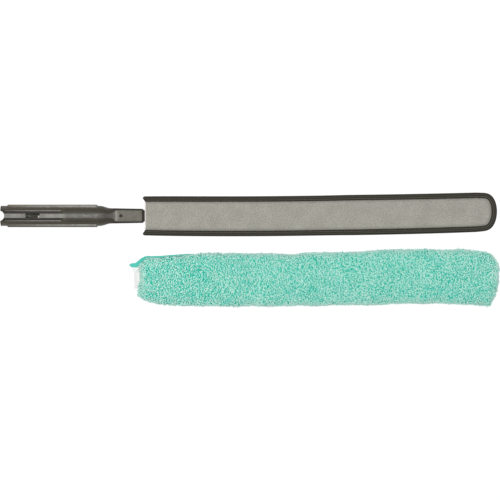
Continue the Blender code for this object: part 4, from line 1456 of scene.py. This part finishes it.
@dataclass
class PileSleeve:
    """The looped pile sleeve: a hollow sock, thousands of loops, the seam tape and the label.

    The mouth's rows are a place across and how far its edge stands back. The route's rows are the tape's
    place, half-width and half-thickness. The outline's rows are a place along, the sideways drift, the
    half-width and the share of the height. The creases' rows are two ends and a depth.
    """

    start: float = -0.16335
    across: float = -0.0442
    length: float = 0.5249
    height: float = 0.0290
    settling: float = 0.0012
    pile_depth: float = 0.0020
    wall: float = 0.0034
    inner_drop: float = 0.0040
    end_setback: float = 0.0016
    inner_setback: float = 0.0200
    squareness: float = 2.6
    around: int = 100
    cell: float = 0.00195
    lumps: tuple[tuple[float, ...], ...] = ((42, 60, 0, 0.0011), (150, 150, 9, 0.0005))
    crease_width: float = 0.0013
    mouth_reach: float = 0.012
    seed: int = 41
    pieces: int = 6
    floor_gap: float = 0.0012
    loop_floor_gap: float = 0.0003
    swell_hold: float = 0.15
    swell_pressure: float = 4.0
    swell_reach: float = 0.0009
    tape_room: float = 0.0022
    tape_end: float = 0.0790
    tape_run_out: float = 0.006
    label_ends: Pair = (0.0195, -0.0128)
    label_left: float = -0.0094
    label_right: float = 0.0090
    label_sunk: float = 0.0022
    label_rows: int = 26
    label_columns: int = 14
    label_thickness: float = 0.0004
    mouth: tuple[Pair, ...] = (
        (-0.0300, 0.0014), (-0.0215, 0.0012), (-0.0157, 0.0019), (-0.0076, 0.0026),
        (-0.0041, 0.0050), (0.0061, 0.0056), (0.0200, 0.0042), (0.0300, 0.0040),
    )  # fmt: skip
    route: tuple[tuple[float, float, float, float], ...] = (
        (-0.0124, 0.0224, 0.0004, 0.0006), (-0.0112, 0.0219, 0.0008, 0.0008),
        (-0.0094, 0.0217, 0.0024, 0.0011), (-0.0050, 0.0216, 0.0030, 0.0012),
        (-0.0008, 0.0223, 0.0034, 0.0012), (0.0022, 0.0252, 0.0029, 0.0012),
        (0.0060, 0.0288, 0.0026, 0.0012), (0.0098, 0.0311, 0.0027, 0.0012),
        (0.0135, 0.0320, 0.0028, 0.0012), (0.0200, 0.0324, 0.0024, 0.0012),
        (0.0326, 0.0334, 0.0016, 0.0012), (0.0471, 0.0350, 0.0012, 0.0011),
        (0.0616, 0.0362, 0.0010, 0.0010), (0.0720, 0.0371, 0.0009, 0.0009),
        (0.0800, 0.0376, 0.0005, 0.0006),
    )  # fmt: skip
    outline: tuple[tuple[float, float, float, float], ...] = (
        (0.0000, 0.0025, 0.0254, 0.58), (0.0036, 0.0027, 0.0276, 0.73), (0.0065, 0.0027, 0.0294, 0.85),
        (0.0109, 0.0026, 0.0316, 0.95), (0.0152, 0.0026, 0.0329, 1.00), (0.0200, 0.0018, 0.0335, 1.00),
        (0.0326, 0.0005, 0.0354, 1.00), (0.0471, 0.0004, 0.0367, 1.00), (0.0616, 0.0005, 0.0372, 1.00),
        (0.0761, 0.0007, 0.0380, 1.00), (0.0863, -0.0003, 0.0374, 1.00), (0.0950, 0.0007, 0.0383, 1.00),
        (0.1051, 0.0010, 0.0385, 1.00), (0.1486, 0.0004, 0.0383, 1.00), (0.2066, 0.0003, 0.0375, 1.00),
        (0.2211, -0.0004, 0.0370, 1.00), (0.2501, 0.0015, 0.0386, 1.00), (0.2936, 0.0020, 0.0380, 1.00),
        (0.3371, 0.0029, 0.0392, 1.00), (0.3661, 0.0044, 0.0393, 1.00), (0.3951, 0.0050, 0.0389, 1.00),
        (0.4241, 0.0053, 0.0391, 1.00), (0.4531, 0.0046, 0.0384, 1.00), (0.4676, 0.0050, 0.0399, 1.00),
        (0.4894, 0.0034, 0.0394, 1.00), (0.5024, 0.0017, 0.0393, 0.97), (0.5097, 0.0006, 0.0386, 0.92),
        (0.5126, 0.0015, 0.0352, 0.87), (0.5155, 0.0037, 0.0300, 0.80), (0.5184, 0.0047, 0.0245, 0.70),
        (0.5213, 0.0112, 0.0144, 0.55), (0.5236, 0.0124, 0.0075, 0.34),
    )  # fmt: skip
    creases: tuple[tuple[float, float, float, float, float], ...] = (
        (0.0912, 0.0225, 0.0870, 0.0109, 0.0016), (0.0870, 0.0109, 0.0790, 0.0080, 0.0008),
        (0.0128, 0.0165, 0.0160, 0.0110, 0.0012), (0.0160, 0.0110, 0.0195, 0.0035, 0.0012),
        (0.0165, -0.0185, 0.0245, -0.0215, 0.0012), (0.0600, 0.0150, 0.0665, 0.0215, 0.0010),
        (0.0310, 0.0160, 0.0370, 0.0190, 0.0010), (0.4300, 0.0180, 0.4460, 0.0240, 0.0009),
        (0.4640, -0.0180, 0.4520, -0.0260, 0.0009), (0.3150, 0.0140, 0.3010, 0.0050, 0.0006),
        (0.2100, -0.0100, 0.2200, -0.0200, 0.0006),
    )  # fmt: skip

    @property
    def level(self) -> float:
        """Height of the sleeve's middle above the floor."""
        return self.height / 2 - self.settling

    def form(self, along: float) -> Sequence[float]:
        """Sideways drift, half-width and height share at a place along the sleeve."""
        for near, far in zip(self.outline, self.outline[1:]):
            if along <= far[0]:
                share = (along - near[0]) / (far[0] - near[0])
                share = ease(share) * 0.4 + share * 0.6
                return tuple(mix(a, b, share) for a, b in zip(near[1:], far[1:]))
        return self.outline[-1][1:]

    def station(self, along: float) -> tuple[float, float, float, float]:
        """Sideways drift, half-width, half-height and middle height at a place along the sleeve."""
        drift, half_width, height = self.form(along)
        half_height = self.height / 2 * height
        return drift, half_width, half_height, mix(half_height, self.height / 2, height) - self.settling

    def section(self, half_width: float, half_height: float) -> np.ndarray:
        """Evenly spaced points of a squarish oval, starting at its left side."""
        angles = np.linspace(0, 2 * math.pi, 721)
        power = 2 / self.squareness
        ys = half_width * np.sign(np.cos(angles)) * np.abs(np.cos(angles)) ** power
        zs = half_height * np.sign(np.sin(angles)) * np.abs(np.sin(angles)) ** power
        run = np.concatenate([[0], np.cumsum(np.hypot(np.diff(ys), np.diff(zs)))])
        wanted = np.linspace(0, run[-1], self.around + 1)[:-1]
        return np.stack([np.interp(wanted, run, ys), np.interp(wanted, run, zs)], axis=1)

    def dent(self, along: float, across: float) -> float:
        """How deep the creases draw the top in at a place."""
        deepest = 0.0
        for x0, y0, x1, y1, depth in self.creases:
            reach = Vector((x1 - x0, y1 - y0))
            away = Vector((along - x0, across - y0))
            distance = (away - reach * limit(away.dot(reach) / reach.length_squared)).length
            deepest = max(deepest, depth * math.exp(-((distance / self.crease_width) ** 2)))
        return deepest

    def place(self, along: float, across: float, up: float) -> Vector:
        """A point of the base cloth, set back with the mouth's edge."""
        shift = float(np.interp(across, *zip(*self.mouth))) * max(0.0, 1 - along / self.mouth_reach)
        return Vector((self.start + along + shift, self.across + across, up))

    def outer_ring(self, along: float) -> list[Vector]:
        """A ring of the base cloth's outside, drawn in a little where the seam tape lies."""
        drift, half_width, half_height, middle = self.station(along)
        room = self.tape_room * ease((self.tape_end - along) / self.tape_run_out) / half_width
        points = []
        for y, z in self.section(half_width - self.pile_depth, half_height - self.pile_depth):
            across = drift + y * (1 - room if y > 0 else 1)
            lump = sum(
                noise.noise(Vector((along * flat, across * flat, z * tall + shift))) * depth
                for flat, tall, shift, depth in self.lumps
            )
            out = Vector((y / max(half_width, 0.001) ** 2, z / max(half_height, 0.001) ** 2)).normalized()
            across += out.x * lump
            up = middle + z + out.y * lump
            if z > 0:
                up -= self.dent(along, across) * min(z / half_height * 1.5, 1.0)
            points.append(self.place(along, across, max(up, self.floor_gap)))
        return points

    def inner_ring(self, along: float) -> list[Vector]:
        """A ring of the base cloth's inside."""
        drift, half_width, half_height, middle = self.station(along)
        draw = self.pile_depth + self.wall
        ring = self.section(half_width - draw, min(half_height - draw, middle - self.inner_drop))
        return [self.place(along, drift + y, middle + z) for y, z in ring]

    def build_sock(self, material: Material) -> Rings:
        """Model the hollow base cloth, open at its mouth.

        Args:
            material: The pile's material.

        Returns:
            The rings of its outside, from the mouth to the end.
        """
        last = self.outline[-1][0] - self.end_setback
        count = round(last / self.cell)
        outside = self.filled([self.outer_ring(last * step / count) for step in range(count + 1)])
        depth = self.length - self.inner_setback
        rings = outside[::-1] + [self.inner_ring(depth * step / 60) for step in range(61)]
        sock = loft("sleeve_base_cloth", rings, cloth_from_above(rings))
        # the base cloth gets the deep tone: painted shade between the loops
        give_tone(sock, np.full(len(sock.data.vertices), 0.12))
        hand_over(sock, material, 60.0, "sleeve", "sleeve_sock")
        return outside

    def filled(self, rings: Rings) -> Rings:
        """Let the rings of the cloth's outside swell a little between the mouth, the end and the floor."""
        skin = loft("sleeve_pattern", rings, cloth_from_above(rings))
        ends = self.around * 2
        held = np.full(len(skin.data.vertices), self.swell_hold)
        held[:ends] = 1.0
        held[-ends:] = 1.0
        let_swell(skin, held, self.swell_pressure, self.swell_reach)
        points = [v.co.copy() for v in skin.data.vertices]
        bpy.data.objects.remove(skin, do_unlink=True)
        for point in points:
            point.z = max(point.z, self.floor_gap)
        return [points[row * self.around : (row + 1) * self.around] for row in range(len(rings))]

    def loop_pattern(self) -> tuple[np.ndarray, np.ndarray, np.ndarray]:
        """Model one loop of pile, one unit long and high: a square yarn drawn out over an arch.

        Returns:
            The points, as place along the loop, height of the arch, place sideways and place up in the
            yarn; the corners of the faces; and where each face starts.
        """
        places = (-0.5, -0.30, 0.0, 0.30, 0.5)
        heights = (-0.30, 0.66, 1.0, 0.66, -0.30)
        widths = (0.62, 1.0, 1.05, 1.0, 0.62)
        clear_hands()
        quarter_turn = (0, math.pi / 2, 0)
        bpy.ops.mesh.primitive_plane_add(size=math.sqrt(2), location=(-0.5, 0, 0), rotation=quarter_turn)
        loop = bpy.context.active_object
        settle(loop)
        with open_mesh(loop):
            bpy.ops.mesh.select_all(action="SELECT")
            for near, far in zip(places, places[1:]):
                draw_out(far - near)
            bpy.ops.mesh.select_all(action="SELECT")
            bpy.ops.mesh.normals_make_consistent(inside=False)
        points, corners, starts = take_apart(loop)
        arch = np.interp(points[:, 0], places, heights)
        yarn = np.interp(points[:, 0], places, widths)
        shaped = np.stack([points[:, 0], arch, points[:, 1] * yarn, points[:, 2] * yarn], axis=1)
        return shaped, corners, starts

    def build_pile(self, outside: Rings, material: Material) -> None:
        """Lay loops of pile on every cell of the base cloth's outside, and on its closed end."""
        grid = np.array([[tuple(p) for p in ring] for ring in outside])
        following = np.roll(grid, -1, axis=1)
        middle = (grid[:-1] + grid[1:] + following[:-1] + following[1:]) / 4
        along = grid[1:] + following[1:] - grid[:-1] - following[:-1]
        around = following[:-1] + following[1:] - grid[:-1] - grid[1:]
        normal = np.cross(around, along)
        size = np.linalg.norm(normal, axis=2, keepdims=True)
        share = size.ravel() / 4 / self.cell**2
        normal /= np.maximum(size, 1e-9)
        cells = [a.reshape(-1, 3) for a in (middle, along / 2, around / 2, normal)]
        keep = np.where(self.outside_tape(cells[0]), np.clip(np.round(share), 1, 8), 0).astype(int)
        middle, along, around, normal = (np.repeat(a, keep, axis=0) for a in cells)
        chooser = np.random.default_rng(self.seed)
        jitter = chooser.uniform(-0.45, 0.45, (len(middle), 2))
        base = middle + along * jitter[:, :1] + around * jitter[:, 1:]
        centre = grid[-1].mean(axis=0)
        cap = [centre + (grid[-1][::step] - centre) * size for size, step in ((0.8, 4), (0.5, 7), (0.2, 18))]
        facing = np.tile([1.0, 0.0, 0.0], (sum(map(len, cap)), 1))
        self.lay_loops(np.concatenate([base, *cap]), np.concatenate([normal, facing]), chooser, material)

    def outside_tape(self, places: np.ndarray) -> np.ndarray:
        """Which places are free of the seam tape, which lies along the left edge near the mouth."""
        x = places[:, 0] - self.start
        y = places[:, 1] - self.across
        edge = np.interp(x, [r[0] for r in self.route], [r[1] - r[2] for r in self.route])
        height = np.abs(places[:, 2] - self.level)
        return ~((x < self.tape_end) & (y > edge - 0.0018) & (height < 0.0050))

    def lay_loops(
        self, base: np.ndarray, normal: np.ndarray, chooser: np.random.Generator, material: Material
    ) -> None:
        """Shape the loops on their places and gather them in a few pieces along the sleeve."""
        pattern, corners, starts = self.loop_pattern()
        count = len(base)
        swirl = np.array([noise.noise(Vector((p[0] * 45, p[1] * 45, p[2] * 45))) for p in base])
        turn = swirl * 2.2 + chooser.normal(0.0, 0.45, count)
        helper = np.tile([0.0, 0.0, 1.0], (count, 1))
        helper[np.abs(normal[:, 2]) > 0.8] = (1.0, 0.0, 0.0)
        first = np.cross(normal, helper)
        first /= np.linalg.norm(first, axis=1, keepdims=True)
        second = np.cross(normal, first)
        ahead = first * np.cos(turn)[:, None] + second * np.sin(turn)[:, None]
        sideways = np.cross(normal, ahead)
        length = chooser.uniform(0.0026, 0.0044, count)
        lift = chooser.uniform(0.0010, 0.0022, count)
        thick = chooser.uniform(0.00060, 0.00088, count)
        bend = chooser.uniform(-0.0011, 0.0011, count)
        lean = chooser.uniform(-0.25, 0.25, count)
        shade = chooser.uniform(0.0, 1.0, count)
        rim = 1 - np.abs(normal[:, 2])
        lift *= 1 + 1.0 * rim * chooser.uniform(0.0, 1.0, count) ** 2
        share, arch, side, up = (pattern[:, k][None, :] for k in range(4))
        point = base[:, None, :] + ahead[:, None, :] * (share * length[:, None])[..., None]
        drift = bend[:, None] * (1 - 4 * share**2) + lean[:, None] * arch * lift[:, None]
        point = point + sideways[:, None, :] * (drift + side * thick[:, None])[..., None]
        point = point + normal[:, None, :] * (arch * lift[:, None] + up * thick[:, None] * 0.8)[..., None]
        point[..., 2] = np.maximum(point[..., 2], self.loop_floor_gap)
        # painted light on the loops' tops and painted shade at their roots
        top = 0.30 + 0.70 * np.clip(arch, 0, 1) + 0.12 * np.clip(up, -1, 1)
        # painted shade in the creases, on the loops that face up
        crease = np.array([self.dent(p[0] - self.start, p[1] - self.across) for p in base]) / 0.0016
        # random tone per loop, with painted light on the loops that face sideways at the rim
        tone = 0.49 + shade * 0.50 - crease * 0.5 * (normal[:, 2] > 0) + 0.34 * rim
        tone = np.clip(0.04 + tone[:, None] * top, 0.02, 1.0)
        groups = ((base[:, 0] - self.start) / self.length * self.pieces).astype(int)
        groups = np.clip(groups, 0, self.pieces - 1)
        for group in range(self.pieces):
            chosen = groups == group
            piece = scatter(f"sleeve_pile_{group + 1}", point[chosen], corners, starts)
            give_tone(piece, tone[chosen])
            dress(piece, material)
            take(piece)
            bpy.ops.object.shade_smooth()
            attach(piece, "sleeve")
            LOG.info("%s: %d loops", piece.name, int(chosen.sum()))

    def build_tape(self, material: Material) -> None:
        """Model the seam tape from its end tab, up the corner and along the sleeve's left edge."""
        points = self.refined(self.route, 5)
        rings, cloth, run = [], [], 0.0
        for index, (x, y, half_width, half_thick) in enumerate(points):
            side = outward(points, index)
            run += math.dist(points[index - 1][:2], (x, y)) if index else 0.0
            wave = noise.noise(Vector((run * 260, 0, 2.0))) * 0.0005
            x, y = self.start + x, self.across + y
            ring = rounded_ring(half_width, half_thick, half_thick * 0.8, 3)
            rings.append([Vector((x + side.x * a, y + side.y * a + wave, self.level + up)) for a, up in ring])
            cloth.append([(run, across) for across, _ in ring])
        tape = loft("seam_tape_sewn", rings, cloth)
        hand_over(tape, material, 50.0, "sleeve", "sleeve_seam_tape")

    @staticmethod
    def refined(route: Sequence[Sequence[float]], steps: int) -> list[tuple[float, ...]]:
        """A smooth path through the given points."""
        made = []
        for index in range(len(route) - 1):
            before, near = route[max(index - 1, 0)], route[index]
            far, after = route[index + 1], route[min(index + 2, len(route) - 1)]
            for step in range(steps):
                t = step / steps
                weights = (
                    (-t + 2 * t**2 - t**3) / 2,
                    (2 - 5 * t**2 + 3 * t**3) / 2,
                    (t + 4 * t**2 - 3 * t**3) / 2,
                    (t**3 - t**2) / 2,
                )
                columns = zip(before, near, far, after)
                made.append(tuple(sum(w * c for w, c in zip(weights, column)) for column in columns))
        made.append(tuple(route[-1]))
        return made

    def build_label(self, material: Material) -> None:
        """Model the blank label that hangs out of the mouth under the tape's tab."""
        rows, columns = self.label_rows, self.label_columns
        points, cloth = [], []
        for share in spread(0.0, 1.0, rows):
            across = mix(*self.label_ends, share)
            left = self.label_left + 0.0050 * ease(min(share * 2.6, 1.0)) + 0.0003 * math.sin(share * 9)
            seam = (1 - (across / 0.0254) ** 2) ** 0.4 * ease(share * 4 - 0.3)
            for column in range(columns + 1):
                x = mix(left, self.label_right, column / columns)
                curl = 0.0007 * math.sin(share * 2.4 + 0.4) * (1 - column / columns)
                curl += 0.0040 * ease((x + 0.008) / 0.011) * seam
                points.append((self.start + x, self.across + across, self.level - self.label_sunk + curl))
                cloth.append((x, across))
        data = bpy.data.meshes.new("blank_label")
        data.from_pydata(points, [], grid_faces(rows + 1, columns + 1))
        grid = np.array(points).reshape(rows + 1, columns + 1, 3)
        wide = float(np.linalg.norm(np.diff(grid, axis=1), axis=2).sum(axis=1).max())
        long = float(np.linalg.norm(np.diff(grid, axis=0), axis=2).sum(axis=0).max())
        layer = data.uv_layers.new(name="cloth")
        for loop in data.loops:
            layer.data[loop.index].uv = cloth[loop.vertex_index]
        label = put("blank_label", data)
        take(label)
        cloth_body = label.modifiers.new("cloth_thickness", "SOLIDIFY")
        cloth_body.thickness = self.label_thickness
        cloth_body.offset = 0.0
        bpy.ops.object.modifier_apply(modifier=cloth_body.name)
        hand_over(label, material, 50.0, "sleeve", "care_label")

    def build(self, pile: Material, tape: Material, label: Material) -> None:
        """Model the whole sleeve from its looped pile, its seam tape and the label's cloth."""
        self.build_pile(self.build_sock(pile), pile)
        self.build_tape(tape)
        self.build_label(label)


@dataclass
class Studio:
    """The pale floor, the soft light overhead and the camera looking straight down."""

    floor_size: float = 8.0
    floor_height: float = -0.0002
    light_height: float = 2.0
    light_size: Pair = (1.5, 0.9)
    light_power: float = 34.5
    light_side: float = 0.14
    sky: float = 0.31
    camera_place: tuple[float, float, float] = (-0.0002, -0.00065, 5.0)
    view_width: float = 0.725
    middle_height: float = 0.0133

    def build(self) -> None:
        """Set up the floor, the light and the camera."""
        clear_hands()
        bpy.ops.mesh.primitive_plane_add(size=self.floor_size, location=(0, 0, self.floor_height))
        floor = bpy.context.active_object
        floor.name = "studio_floor"
        settle(floor)
        dress(floor, StudioWhite().build())
        self.light()
        self.surround()
        self.camera()

    def light(self) -> None:
        """Hang one wide soft light over the object."""
        lamp = bpy.data.lights.new("overhead_softbox", "AREA")
        lamp.shape = "RECTANGLE"
        lamp.size, lamp.size_y = self.light_size
        lamp.energy = self.light_power
        put("overhead_softbox", lamp).location = (0.0, self.light_side, self.light_height)

    def surround(self) -> None:
        """Fill the surroundings with a plain pale light that a camera sees as white."""
        world = bpy.data.worlds.new("studio")
        bpy.context.scene.world = world
        world.use_nodes = True
        nodes, links = world.node_tree.nodes, world.node_tree.links
        rays = nodes.new("ShaderNodeLightPath")
        strength = nodes.new("ShaderNodeMapRange")
        strength.inputs["To Min"].default_value = self.sky
        strength.inputs["To Max"].default_value = 1.0
        links.new(rays.outputs["Is Camera Ray"], strength.inputs["Value"])
        links.new(strength.outputs[0], nodes["Background"].inputs["Strength"])
        nodes["Background"].inputs["Color"].default_value = (1.0, 1.0, 1.0, 1.0)

    def camera(self) -> None:
        """Set the camera straight above the object."""
        data = bpy.data.cameras.new("camera")
        data.sensor_width = 36.0
        distance = self.camera_place[2] - self.middle_height
        data.lens = data.sensor_width * distance / self.view_width
        data.clip_end = 50.0
        holder = put("camera", data)
        holder.location = self.camera_place
        bpy.context.scene.camera = holder
        bpy.context.scene.view_settings.view_transform = "Standard"


def main() -> None:
    """Build every part of the duster over its frame."""
    logging.basicConfig(level=logging.INFO, format="%(name)s: %(message)s")
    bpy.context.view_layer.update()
    wand = WandFrame()
    SocketHandle(wand).build(MouldedPlastic().build())
    TonguePin(wand).build(RolledMetal("pin_metal", (62, 58, 48), 0.5).build())
    PaddedBlade(wand, BladeOutline()).build(
        KnittedCover().build(),
        BindingTape().build(),
        SewingThread().build(),
        OpenFoam().build(),
        RolledMetal("core_metal", (92, 92, 86), 0.5).build(),
    )
    PileSleeve().build(LoopedPile().build(), SmoothTape().build(), WovenLabel().build())
    Studio().build()


if __name__ == "__main__":
    main()
